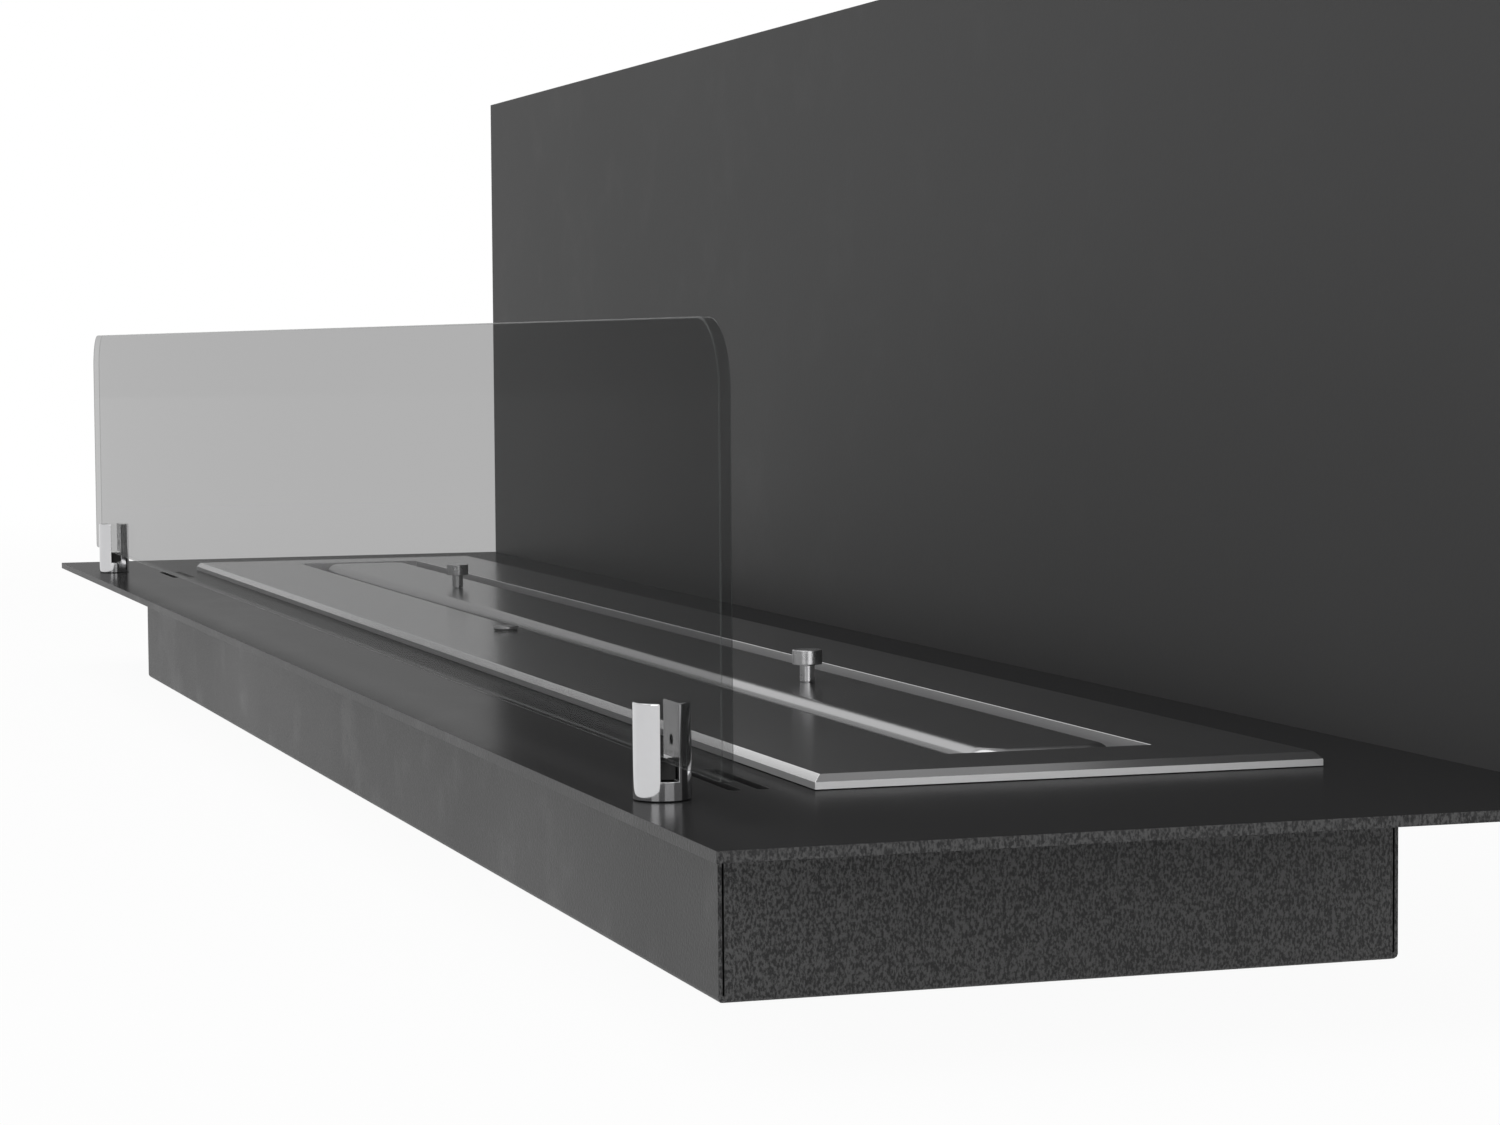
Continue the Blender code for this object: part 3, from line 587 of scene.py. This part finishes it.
class Shape:
    """A piece's mesh while it is being shaped."""

    def __init__(self) -> None:
        """Start with an empty mesh."""
        self.mesh = bmesh.new()

    @classmethod
    def block(cls, low: Sequence[float], high: Sequence[float]) -> "Shape":
        """Start from a block.

        Args:
            low: The corner with the smallest coordinates.
            high: The corner with the largest coordinates.

        Returns:
            The block.
        """
        shape = cls()
        bmesh.ops.create_cube(shape.mesh, size=1.0)
        size = Vector(high) - Vector(low)
        shape.move(Matrix.LocRotScale((Vector(low) + Vector(high)) / 2, None, size))
        return shape

    @classmethod
    def of_node(cls, node: str) -> "Shape":
        """Return a merged copy of a CAD node, with its flat faces whole again.

        Args:
            node: The node's name.

        Returns:
            The copy.
        """
        shape = cls()
        shape.mesh.from_mesh(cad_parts[node].data)
        bmesh.ops.remove_doubles(shape.mesh, verts=shape.mesh.verts, dist=NODE_MERGE)
        bmesh.ops.dissolve_limit(shape.mesh, angle_limit=FLAT, verts=shape.mesh.verts,
                                 edges=shape.mesh.edges)
        return shape

    @classmethod
    def turned(cls, profile: Sequence[tuple[float, float]], steps: int = 96) -> "Shape":
        """Turn a profile about the Z axis.

        Args:
            profile: (radius, height) points, closed by the axis or by its own last point.
            steps: How many faces go round.

        Returns:
            The turned shape.
        """
        shape = cls()
        verts = [shape.mesh.verts.new((radius, 0, height)) for radius, height in profile]
        edges = [shape.mesh.edges.new(pair) for pair in zip(verts, verts[1:])]
        bmesh.ops.spin(shape.mesh, geom=verts + edges, cent=(0, 0, 0), axis=(0, 0, 1), dvec=(0, 0, 0),
                       angle=FULL_TURN, steps=steps, use_merge=True, use_duplicate=False)
        bmesh.ops.remove_doubles(shape.mesh, verts=shape.mesh.verts, dist=MERGE)
        bmesh.ops.recalc_face_normals(shape.mesh, faces=shape.mesh.faces)
        return shape

    def move(self, matrix: Matrix) -> "Shape":
        """Transform the whole mesh."""
        bmesh.ops.transform(self.mesh, matrix=matrix, verts=self.mesh.verts)
        return self

    def join(self, other: "Shape") -> "Shape":
        """Take another shape's mesh into this one.

        Args:
            other: The other shape, which is used up.

        Returns:
            This shape.
        """
        carried = bpy.data.meshes.new("carried")
        other.mesh.to_mesh(carried)
        other.mesh.free()
        self.mesh.from_mesh(carried)
        bpy.data.meshes.remove(carried)
        return self

    def sharp(self, angle: float = CREASE) -> list[bmesh.types.BMEdge]:
        """Return the edges where two faces meet at more than an angle."""
        return [e for e in self.mesh.edges if len(e.link_faces) == 2 and e.calc_face_angle(0) > angle]

    def thicken(self, sheet: float) -> "Shape":
        """Give an open surface a thickness, inwards from its outer faces.

        Args:
            sheet: The thickness.

        Returns:
            The shape.
        """
        bmesh.ops.recalc_face_normals(self.mesh, faces=self.mesh.faces)
        bmesh.ops.solidify(self.mesh, geom=list(self.mesh.faces), thickness=sheet)
        bmesh.ops.recalc_face_normals(self.mesh, faces=self.mesh.faces)
        return self

    def edges(self, wanted: Callable[[bmesh.types.BMEdge], bool]) -> list[bmesh.types.BMEdge]:
        """Return the edges that pass a test."""
        return [e for e in self.mesh.edges if wanted(e)]

    def open_up(self, wanted: Callable[[bmesh.types.BMFace], bool]) -> "Shape":
        """Take out the faces that pass a test.

        Args:
            wanted: The test.

        Returns:
            The shape.
        """
        faces = [f for f in self.mesh.faces if wanted(f)]
        bmesh.ops.delete(self.mesh, geom=faces, context="FACES_ONLY")
        return self

    def bevel(self, edges: Iterable[bmesh.types.BMEdge], radius: float, segments: int = 3) -> "Shape":
        """Round some edges.

        Args:
            edges: The edges to round.
            radius: How far the rounding reaches from each edge.
            segments: How many faces it has.

        Returns:
            The shape.
        """
        bmesh.ops.bevel(self.mesh, geom=list(edges), offset=radius, offset_type="OFFSET",
                        segments=segments, profile=0.5, affect="EDGES", clamp_overlap=True,
                        material=-1)
        return self

    def soften(self, radius: float, segments: int = 2) -> "Shape":
        """Break every sharp edge with a small radius."""
        return self.bevel(self.sharp(), radius, segments)

    def piece(self, name: str, body: str, finish: Finish, replaces: Sequence[str] = (),
              crease: float = CREASE) -> bpy.types.Object:
        """Finish the mesh as a piece of the fireplace.

        Args:
            name: The piece's name.
            body: The CAD body it moves with.
            finish: What covers it.
            replaces: The CAD nodes that it stands for.
            crease: Edges sharper than this stay sharp.

        Returns:
            The piece.
        """
        mesh = bpy.data.meshes.new(name)
        self.mesh.to_mesh(mesh)
        self.mesh.free()
        mesh.polygons.foreach_set("use_smooth", [True] * len(mesh.polygons))
        mesh.set_sharp_from_angle(angle=crease)
        mesh.materials.append(material_for(finish))
        made = bpy.data.objects.new(name, mesh)
        bpy.context.scene.collection.objects.link(made)
        even = made.modifiers.new("Even shading", "WEIGHTED_NORMAL")
        even.keep_sharp = True
        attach(made, body)
        if replaces:
            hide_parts(*replaces)
        log.info("%s: %d faces on %s", name, len(mesh.polygons), body)
        return made


def softened(node: str, body: str, finish: Finish, radius: float, segments: int = 2) -> bpy.types.Object:
    """Replace a CAD node by its own shape with every sharp edge broken.

    Args:
        node: The node's name.
        body: The CAD body it moves with.
        finish: What covers it.
        radius: The broken edge's radius.
        segments: How many faces each broken edge has.

    Returns:
        The new piece.
    """
    shape = Shape.of_node(node).soften(radius, segments)
    return shape.piece(f"{node}_finished", body, finish, [node])


def middle(node: str) -> Vector:
    """Return the centre of a CAD node's box."""
    low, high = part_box(node)
    return (Vector(low) + Vector(high)) / 2


def box_round(nodes: Sequence[str]) -> tuple[Vector, Vector]:
    """Find the box round several CAD nodes.

    Args:
        nodes: The nodes' names.

    Returns:
        The box's two corners.
    """
    boxes = [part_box(node) for node in nodes]
    low = Vector([min(box[0][axis] for box in boxes) for axis in range(3)])
    high = Vector([max(box[1][axis] for box in boxes) for axis in range(3)])
    return low, high


def runs(edge: bmesh.types.BMEdge, axis: str) -> bool:
    """Return whether an edge runs along an axis, at least in part."""
    return abs(getattr(edge.verts[0].co, axis) - getattr(edge.verts[1].co, axis)) > MERGE


def coat(made: bpy.types.Object, finishes: Sequence[Finish],
         choose: Callable[[bpy.types.MeshPolygon], int]) -> None:
    """Cover some of a piece's faces with further finishes.

    Args:
        made: The piece.
        finishes: The further finishes, counted from 1.
        choose: Tells which finish a face gets, or 0 for the piece's own.
    """
    for finish in finishes:
        made.data.materials.append(material_for(finish))
    for face in made.data.polygons:
        face.material_index = choose(face)


# ---- sub-assemblies

@dataclass
class Housing:
    """The deck, the casing under it and the back panel, with the nuts that join them."""

    deck_edge: float = 0.0005
    sheet_edge: float = 0.00035
    nut_edge: float = 0.0004
    casing_nuts: int = 3
    panel_nuts: int = 5

    def build(self) -> None:
        """Make every piece of the housing."""
        deck = softened("top_plate", "frame", DECK_COAT, self.deck_edge)
        # The deck's front and back edges take the casing coat; its end edges take a darker copy of the
        # leather coat, as painted shade.
        coat(deck, [CASING_COAT, DECK_END_SHADED_COAT], lambda face: 0 if abs(face.normal.z) >= TILTED
             else 2 if abs(face.normal.x) > TILTED else 1)
        casing = softened("casing_tray", "frame", CASING_COAT, self.sheet_edge)
        coat(casing, [LEATHER_COAT], lambda face: int(abs(face.normal.x) > TILTED))
        softened("back_panel", "frame", PANEL_COAT, self.sheet_edge)
        for nut in self.nut_names():
            softened(nut, "frame", ZINC, self.nut_edge)

    def nut_names(self) -> list[str]:
        """Return the names of all the nuts."""
        names = [f"casing_nut_{side}_{n + 1}" for side in ("front", "back") for n in range(self.casing_nuts)]
        return names + [f"panel_nut_{n + 1}" for n in range(self.panel_nuts)]


@dataclass
class GlassScreen:
    """The glass pane, its two slotted posts and what holds it in them."""

    arris: float = 0.0005
    arris_slopes: tuple[float, float] = (0.2, 0.95)
    post_edge: float = 0.0003
    slot_reach: float = 0.004
    corner_steps: int = 28
    corner_radius: float = 0.022
    foot_steps: int = 6
    foot_radius: float = 0.003
    hexagon: int = 6
    screw_steps: int = 48
    screw_pitch: float = 0.0005
    screw_thread: float = 0.06
    screw_socket: float = 0.0008
    screw_socket_depth: float = 0.0012
    bolt_steps: int = 64
    bolt_shank: float = 0.003
    bolt_head: float = 0.0033
    bolt_socket: float = 0.0023
    bolt_socket_depth: float = 0.0016
    dome_steps: int = 8
    dome_turn: float = 8.0
    dome_fall: float = 0.95
    dome_power: float = 1.5

    def build(self) -> None:
        """Make the pane and both posts."""
        self.pane()
        for side in Side:
            self.post(side)
            softened(f"glass_pad_{side.label}", "frame", RUBBER, self.post_edge)
            self.set_screw(side)
            self.bolt(side)

    def post(self, side: Side) -> None:
        """Polish a post all over but for its milled slot.

        Args:
            side: The post's end of the fireplace.
        """
        node = f"post_{side.label}"
        axis = middle(node)
        made = softened(node, "frame", CHROME, self.post_edge, 3)
        coat(made, [MILLED], lambda face: int(abs(face.center.y - axis.y) < self.slot_reach
                                              and abs(face.normal.y) > FACING))

    def pane(self) -> None:
        """Cut the pane: a block with round top corners and a polished arris all round."""
        low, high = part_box("glass_pane")
        shape = Shape.block(low, high)
        half_way = middle("glass_pane").z
        top = shape.edges(lambda e: runs(e, "y") and e.verts[0].co.z > half_way)
        shape.bevel(top, self.corner_radius, self.corner_steps)
        foot = shape.edges(lambda e: runs(e, "y") and max(v.co.z for v in e.verts) < low[2] + MERGE)
        shape.bevel(foot, self.foot_radius, self.foot_steps)
        shape.soften(self.arris)
        least, most = self.arris_slopes
        made = shape.piece("pane", "glass", GLASS, ["glass_pane"])
        coat(made, [GLASS_EDGE], lambda face: int(least < abs(face.normal.y) < most))

    def socket(self, shape: Shape, height: float, reach: float, depth: float) -> None:
        """Sink a hexagon socket in a flat disc that looks along the axis.

        Args:
            shape: The turned shape.
            height: Where the disc lies on the axis.
            reach: The socket's radius over its corners.
            depth: How deep it goes, along -Z if positive.
        """
        def width(face: bmesh.types.BMFace) -> float:
            """Return how far a face reaches from the axis."""
            return max(v.co.xy.length for v in face.verts)

        def level() -> list[bmesh.types.BMFace]:
            """Return the faces that lie at the disc's height."""
            return [f for f in shape.mesh.faces if all(abs(v.co.z - height) < MERGE for v in f.verts)]

        hub = [v for v in {v for f in level() for v in f.verts} if v.co.xy.length < MERGE]
        bmesh.ops.dissolve_verts(shape.mesh, verts=hub)
        face = level()[0]
        bmesh.ops.inset_individual(shape.mesh, faces=[face], thickness=width(face) - reach,
                                   use_even_offset=True)
        inner = next(f for f in level() if width(f) < reach + NEAR)
        for vert in inner.verts:
            turn = math.atan2(vert.co.y, vert.co.x)
            sector = FULL_TURN / self.hexagon
            side = (turn % sector) - sector / 2
            vert.co.xy = vert.co.xy.normalized() * (reach * math.cos(sector / 2) / math.cos(side))
        floor = bmesh.ops.extrude_face_region(shape.mesh, geom=[inner])
        moved = [v for v in floor["geom"] if isinstance(v, bmesh.types.BMVert)]
        bmesh.ops.translate(shape.mesh, verts=moved, vec=(0, 0, -depth))
        bmesh.ops.delete(shape.mesh, geom=[inner], context="FACES_ONLY")
        bmesh.ops.recalc_face_normals(shape.mesh, faces=shape.mesh.faces)

    def set_screw(self, side: Side) -> None:
        """Turn a headless set screw with a hexagon socket, and lay it along Y.

        Args:
            side: The screw's end of the fireplace.
        """
        node = f"set_screw_{side.label}"
        low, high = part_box(node)
        radius = (high[0] - low[0]) / 2
        length = high[1] - low[1]
        crest = self.screw_thread * radius
        pitch = self.screw_pitch
        turns = int((length - radius) / pitch)
        profile = [(0, length), (radius * 0.9, length)]
        for turn in range(turns):
            top = length - radius * 0.15 - turn * pitch
            profile += [(radius, top), (radius - crest, top - pitch / 2)]
        profile += [(radius, radius / 2), (radius / 2, 0), (0, 0)]
        shape = Shape.turned(profile, self.screw_steps)
        self.socket(shape, length, self.screw_socket, self.screw_socket_depth)
        centre = middle(node)
        lay = Euler((-math.pi / 2, 0, 0)).to_matrix().to_4x4()
        shape.move(Matrix.Translation((centre.x, low[1], centre.z)) @ lay)
        shape.piece(f"{node}_turned", node, BLACKENED, [node])

    def bolt(self, side: Side) -> None:
        """Turn the button-head bolt that holds a post, with a hexagon socket in its head.

        Args:
            side: The bolt's end of the fireplace.
        """
        node = f"post_bolt_{side.label}"
        low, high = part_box(node)
        radius = (high[0] - low[0]) / 2
        length = high[2] - low[2]
        shank, head = self.bolt_shank, self.bolt_head
        angles = [math.radians(90 - self.dome_turn * i) for i in range(1, self.dome_steps)]
        dome = [(radius * math.sin(a), head - head * self.dome_fall * math.cos(a) ** self.dome_power)
                for a in angles]
        profile = [(0, length), (shank * 0.9, length), (shank, length - shank * 0.1), (shank, head),
                   (radius, head), *dome, (radius * 0.55, 0), (0, 0)]
        shape = Shape.turned(profile, self.bolt_steps)
        shape.move(Matrix.Rotation(math.pi, 4, "X"))
        self.socket(shape, 0.0, self.bolt_socket, self.bolt_socket_depth)
        shape.move(Matrix.Rotation(-math.pi, 4, "X"))
        centre = middle(node)
        shape.move(Matrix.Translation((centre.x, centre.y, low[2])))
        shape.piece(f"{node}_turned", "frame", ZINC, [node])


@dataclass
class Burner:
    """The steel burner top with its slot, the tank under it and the wool that holds the fuel."""

    edge: float = 0.00018
    upright: float = 0.3
    level: float = 0.95
    sheet_edge: float = 0.0002
    tank_sheet: float = 0.0015
    wool_cell: float = 0.006
    wool_rise: float = 0.0012
    wool_crease: float = math.radians(70)
    wool_waves: tuple[Point, ...] = ((1.3, 2.1, 0.0), (-0.6, 1.7, 1.0), (0.9, 0.0, 1.9))
    wool_names: tuple[str, ...] = ("wick_1", "wick_2", "wick_3")
    walls: tuple[str, ...] = ("front", "back", "left", "right")

    def build(self) -> None:
        """Make every piece of the burner."""
        self.top()
        softened("fire_slot_plate", "burner", STEEL, self.sheet_edge)
        self.tank()
        for name in self.wool_names:
            self.wool(name)

    def top(self) -> None:
        """Mill the top plate and weld the slot's four walls flush under it."""
        low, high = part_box("burner_top")
        shape = Shape.of_node("burner_top")
        half_way = high[2] - (high[2] - low[2]) / 2
        shape.bevel([e for e in shape.sharp() if max(v.co.z for v in e.verts) > half_way], self.edge, 2)
        names = [f"slot_wall_{wall}" for wall in self.walls]
        slot_low, slot_high = box_round(names)
        ring = Shape.block(slot_low, (*slot_high.xy, low[2]))
        ring.open_up(lambda face: abs(face.normal.z) > FACING).thicken(self.tank_sheet)
        made = shape.join(ring).piece("burner_top_welded", "burner", STEEL, ["burner_top", *names])
        # Front and back chamfers take a paler steel as a painted highlight; upright faces take a rougher
        # steel whose paler colour is painted light.
        coat(made, [CHAMFER_STEEL_HIGHLIGHTED, UPRIGHT_STEEL_LIT], lambda face: 2 if abs(face.normal.z) < self.upright
             else int(abs(face.normal.y) > self.upright and abs(face.normal.z) < self.level))

    def tank(self) -> None:
        """Weld the fuel tank from plates, open above."""
        names = ["tank_floor", *(f"tank_wall_{wall}" for wall in self.walls)]
        shape = Shape.block(*box_round(names)).open_up(lambda face: face.normal.z > FACING)
        shape.thicken(self.tank_sheet).soften(self.sheet_edge)
        shape.piece("tank_welded", "burner", STEEL, names)

    def wool(self, name: str) -> None:
        """Shape one block of ceramic wool, lumpy on every side but within its CAD block.

        Args:
            name: The block's CAD node.
        """
        low, high = (Vector(corner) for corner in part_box(name))
        shape = Shape.block(low, high)
        for axis in range(3):
            steps = int((high[axis] - low[axis]) / self.wool_cell)
            for step in range(1, steps):
                normal = Vector((0, 0, 0))
                normal[axis] = 1
                cut = low + (high - low) * (step / steps)
                geom = [*shape.mesh.verts, *shape.mesh.edges, *shape.mesh.faces]
                bmesh.ops.bisect_plane(shape.mesh, geom=geom, plane_co=cut, plane_no=normal)
        shape.mesh.normal_update()
        for vert in shape.mesh.verts:
            x, y, z = vert.co / self.wool_cell
            lumps = [math.sin(a * x + b * y + c * z) for a, b, c in self.wool_waves]
            sunk = (sum(lumps) + len(lumps)) / (2 * len(lumps))
            vert.co -= vert.normal * (self.wool_rise * sunk)
        shape.piece(f"{name}_wool", "burner", WOOL, [name], self.wool_crease)


@dataclass
class Lid:
    """The folded lid over the fire slot, with its two turned knobs."""

    edge_radius: float = 0.006
    edge_steps: int = 12
    corner_radius: float = 0.012
    corner_steps: int = 14
    sheet: float = 0.0015
    stem_radius: float = 0.0031
    stem_height: float = 0.0071
    thread_radius: float = 0.002
    thread_length: float = 0.0052
    thread_edge: float = 0.0002
    knob_edge: float = 0.0004
    knob_dish: tuple[float, float] = (0.0001, 0.00003)
    hem_edge: float = 0.0002
    nodes: tuple[str, ...] = ("burner_lid", "lid_edge_front", "lid_edge_back", "lid_end_left",
                              "lid_end_right")

    def build(self) -> None:
        """Make the lid, its knobs and their nuts."""
        self.lid()
        for side in Side:
            self.knob(side)
            softened(f"knob_nut_{side.label}", "lid", ZINC, self.knob_edge)

    def lid(self) -> None:
        """Fold the lid from a block with its bottom taken out."""
        low, high = box_round(self.nodes)
        shape = Shape.block(low, high)
        shape.bevel(shape.edges(lambda e: runs(e, "z")), self.corner_radius, self.corner_steps)
        rim = shape.edges(lambda e: min(v.co.z for v in e.verts) > high[2] - MERGE)
        shape.bevel(rim, self.edge_radius, self.edge_steps)
        shape.open_up(lambda face: face.normal.z < -FACING).thicken(self.sheet)
        hem = shape.edges(lambda e: max(v.co.z for v in e.verts) < low[2] + NEAR
                          and e.calc_face_angle(0) > CREASE)
        shape.bevel(hem, self.hem_edge, 2)
        shape.piece("lid_folded", "lid", STEEL, self.nodes)

    def knob(self, side: Side) -> None:
        """Turn one knob: a flat cap on a thinner stem with a threaded end.

        Args:
            side: The knob's end of the fireplace.
        """
        node = f"knob_{side.label}"
        low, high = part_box(node)
        centre = middle(node)
        radius = (high[0] - low[0]) / 2
        foot = low[2] + self.thread_length
        neck = foot + self.stem_height
        edge, nick = self.knob_edge, self.thread_edge
        root = edge * 1.5
        dish, half_dish = self.knob_dish
        profile = [(0, high[2] - dish), (radius * 0.5, high[2] - half_dish), (radius - edge, high[2])]
        profile += arc((radius - edge, high[2] - edge), edge, 75, 0, 4)
        profile += arc((radius - edge, neck + edge), edge, 0, -90, 4)
        profile += arc((self.stem_radius + root, neck - root), root, 90, 180, 4)
        profile += [(self.stem_radius, foot + nick), (self.stem_radius - nick, foot),
                    (self.thread_radius, foot), (self.thread_radius, low[2] + nick),
                    (self.thread_radius - nick, low[2]), (0, low[2])]
        shape = Shape.turned(profile).move(Matrix.Translation((centre.x, centre.y, 0)))
        steel = TurnedSteel(f"turned_steel_{side.label}", (centre.x, centre.y))
        shape.piece(f"{node}_turned", "lid", steel, [node])


@dataclass
class Filler:
    """The filler plug on the burner's front strip, and its flat seal."""

    stem_radius: float = 0.0036
    cap_edge: float = 0.0004
    cap_height: float = 0.0012
    seal_edge: float = 0.0001
    turned_steps: int = 72

    def build(self) -> None:
        """Make the plug and the seal."""
        low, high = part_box("filler_plug")
        centre = middle("filler_plug")
        radius = (high[0] - low[0]) / 2
        under = high[2] - self.cap_height
        edge = self.cap_edge
        profile = [(0, high[2]), (radius - edge, high[2])]
        profile += arc((radius - edge, high[2] - edge), edge, 80, 0, 4)
        profile += [(radius, under + edge / 3), (radius - edge / 3, under), (self.stem_radius, under),
                    (self.stem_radius, low[2] + edge), (self.stem_radius - edge, low[2]), (0, low[2])]
        shape = Shape.turned(profile, self.turned_steps)
        shape.move(Matrix.Translation((centre.x, centre.y, 0)))
        steel = TurnedSteel("turned_steel_plug", (centre.x, centre.y))
        shape.piece("plug_turned", "filler", steel, ["filler_plug"])
        softened("filler_seal", "filler", RUBBER, self.seal_edge)


# ---- studio and camera

@dataclass(frozen=True)
class Softbox:
    """A rectangular lamp that points at a target."""

    name: str
    place: Point
    target: Point
    size: tuple[float, float]
    power: float
    in_view: bool = True

    def build(self) -> None:
        """Hang the lamp."""
        data = bpy.data.lights.new(self.name, "AREA")
        data.shape = "RECTANGLE"
        data.size, data.size_y = self.size
        data.energy = self.power
        lamp = bpy.data.objects.new(self.name, data)
        lamp.location = self.place
        towards = Vector(self.target) - Vector(self.place)
        lamp.rotation_euler = towards.to_track_quat("-Z", "Y").to_euler()
        lamp.visible_camera = self.in_view
        bpy.context.scene.collection.objects.link(lamp)


@dataclass
class Studio:
    """A pale floor that fades into a white background, and soft lamps."""

    lamps: tuple[Softbox, ...] = (
        Softbox("overhead", (0.0, -0.9, 2.3), (0.0, 0.0, 0.0), size=(3.4, 2.2), power=34.0),
        Softbox("standing", (2.05, -1.62, 0.55), (0.63, -0.14, 0.1), size=(1.0, 1.1), power=9.0),
        Softbox("side", (2.3, 0.2, 0.38), (0.65, 0.0, 0.02), size=(1.2, 0.7), power=5.6, in_view=False))
    reach: float = 14.0
    floor_drop: float = 0.0005
    floor_albedo: float = 0.80
    near_white: float = 0.95
    fade_from: float = 1.3
    fade_to: float = 3.2
    daylight: float = 0.40
    low: float = 0.12
    low_dim: float = 0.34
    horizon: float = 0.34
    zenith: float = 0.80

    def build(self) -> None:
        """Make the floor, the world and the lamps."""
        bpy.context.scene.view_settings.view_transform = "Standard"
        self.floor()
        self.world()
        for lamp in self.lamps:
            lamp.build()

    def seen(self, shader: Shader) -> Socket:
        """Tell rays that should see white from the rays that light the object.

        Args:
            shader: The node tree that asks.

        Returns:
            1 for a ray from the camera, or by way of gloss or glass, and 0 for other rays.
        """
        camera, gloss, glass = (shader.node("ShaderNodeLightPath", output=f"Is {kind} Ray")
                                for kind in ("Camera", "Glossy", "Transmission"))
        return (camera + gloss + glass).above(threshold=0.5, softness=0.1)

    def floor(self) -> None:
        """Lay the floor: it keeps the object's shadow and is pure white far away."""
        mesh = bpy.data.meshes.new("floor")
        grid = bmesh.new()
        bmesh.ops.create_grid(grid, x_segments=1, y_segments=1, size=self.reach)
        grid.to_mesh(mesh)
        grid.free()
        floor = bpy.data.objects.new("floor", mesh)
        floor.location.z = CAD_BOX[0].z - self.floor_drop
        bpy.context.scene.collection.objects.link(floor)
        material, shader = new_material("floor_white")
        here = shader.place()
        away = shader.node("ShaderNodeVectorMath", {"operation": "LENGTH"}, {0: here}, "Value")
        half = (self.fade_to - self.fade_from) / 2
        white = self.near_white + away.above(self.fade_from + half, half) * (1 - self.near_white)
        albedo = (self.floor_albedo,) * 3
        lit = shader.node("ShaderNodeBsdfDiffuse", {}, {"Color": (*albedo, 1.0)})
        glow = shader.node("ShaderNodeEmission", {}, {"Color": (1, 1, 1, 1), "Strength": 1.0})
        shader.output(shader.node("ShaderNodeMixShader", {}, {0: white * self.seen(shader), 1: lit, 2: glow}))
        mesh.materials.append(material)

    def world(self) -> None:
        """Give even daylight and a white background, which gloss sees dimmer low down and high up."""
        world = bpy.data.worlds.new("studio")
        bpy.context.scene.world = world
        shader = Shader(world)
        towards = shader.node("ShaderNodeTexCoord", output="Generated")
        rise = shader.node("ShaderNodeSeparateXYZ", {}, {"Vector": towards}, "Z")
        middle_rise = (self.horizon + self.zenith) / 2
        high = rise.above(middle_rise, self.zenith - middle_rise)
        gloss = shader.node("ShaderNodeLightPath", output="Is Glossy Ray")
        haze = (1 - rise.above(self.low, self.low / 2)) * self.low_dim
        white = self.seen(shader) * (1 - gloss * high) * (1 - gloss * haze)
        strength = self.daylight + white * (1 - self.daylight)
        light = shader.node("ShaderNodeBackground", {}, {"Color": (1, 1, 1, 1), "Strength": strength})
        shader.node("ShaderNodeOutputWorld", {}, {"Surface": light})


@dataclass
class Viewpoint:
    """A low camera near the right-hand end that looks along the fireplace."""

    beyond_end: float = 0.9884
    before_front: float = 0.3078
    above_deck: float = 0.1464
    azimuth: float = 72.131
    pitch: float = 3.479
    roll: float = -0.424
    lens: float = 86.604
    sensor: float = 36.0
    nearest: float = 0.05
    farthest: float = 60.0

    def build(self) -> None:
        """Place the camera."""
        low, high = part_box("top_plate")
        data = bpy.data.cameras.new("camera")
        data.lens = self.lens
        data.sensor_width = self.sensor
        data.sensor_fit = "HORIZONTAL"
        data.clip_start = self.nearest
        data.clip_end = self.farthest
        camera = bpy.data.objects.new("camera", data)
        turn, down, tilt = (math.radians(a) for a in (self.azimuth, self.pitch, self.roll))
        heading = Matrix.Rotation(turn, 4, "Z") @ Matrix.Rotation(math.pi / 2 - down, 4, "X")
        place = Matrix.Translation((high[0] + self.beyond_end, low[1] - self.before_front,
                                    high[2] + self.above_deck))
        camera.matrix_world = place @ heading @ Matrix.Rotation(tilt, 4, "Z")
        bpy.context.scene.collection.objects.link(camera)
        bpy.context.scene.camera = camera


def main() -> None:
    """Build the camera, the studio and every sub-assembly."""
    logging.basicConfig(level=logging.INFO, format="%(name)s: %(message)s")
    for part in (Viewpoint(), Studio(), Housing(), GlassScreen(), Burner(), Lid(), Filler()):
        log.info("building %s", type(part).__name__)
        part.build()
    bpy.context.view_layer.update()


if __name__ == "__main__":
    main()
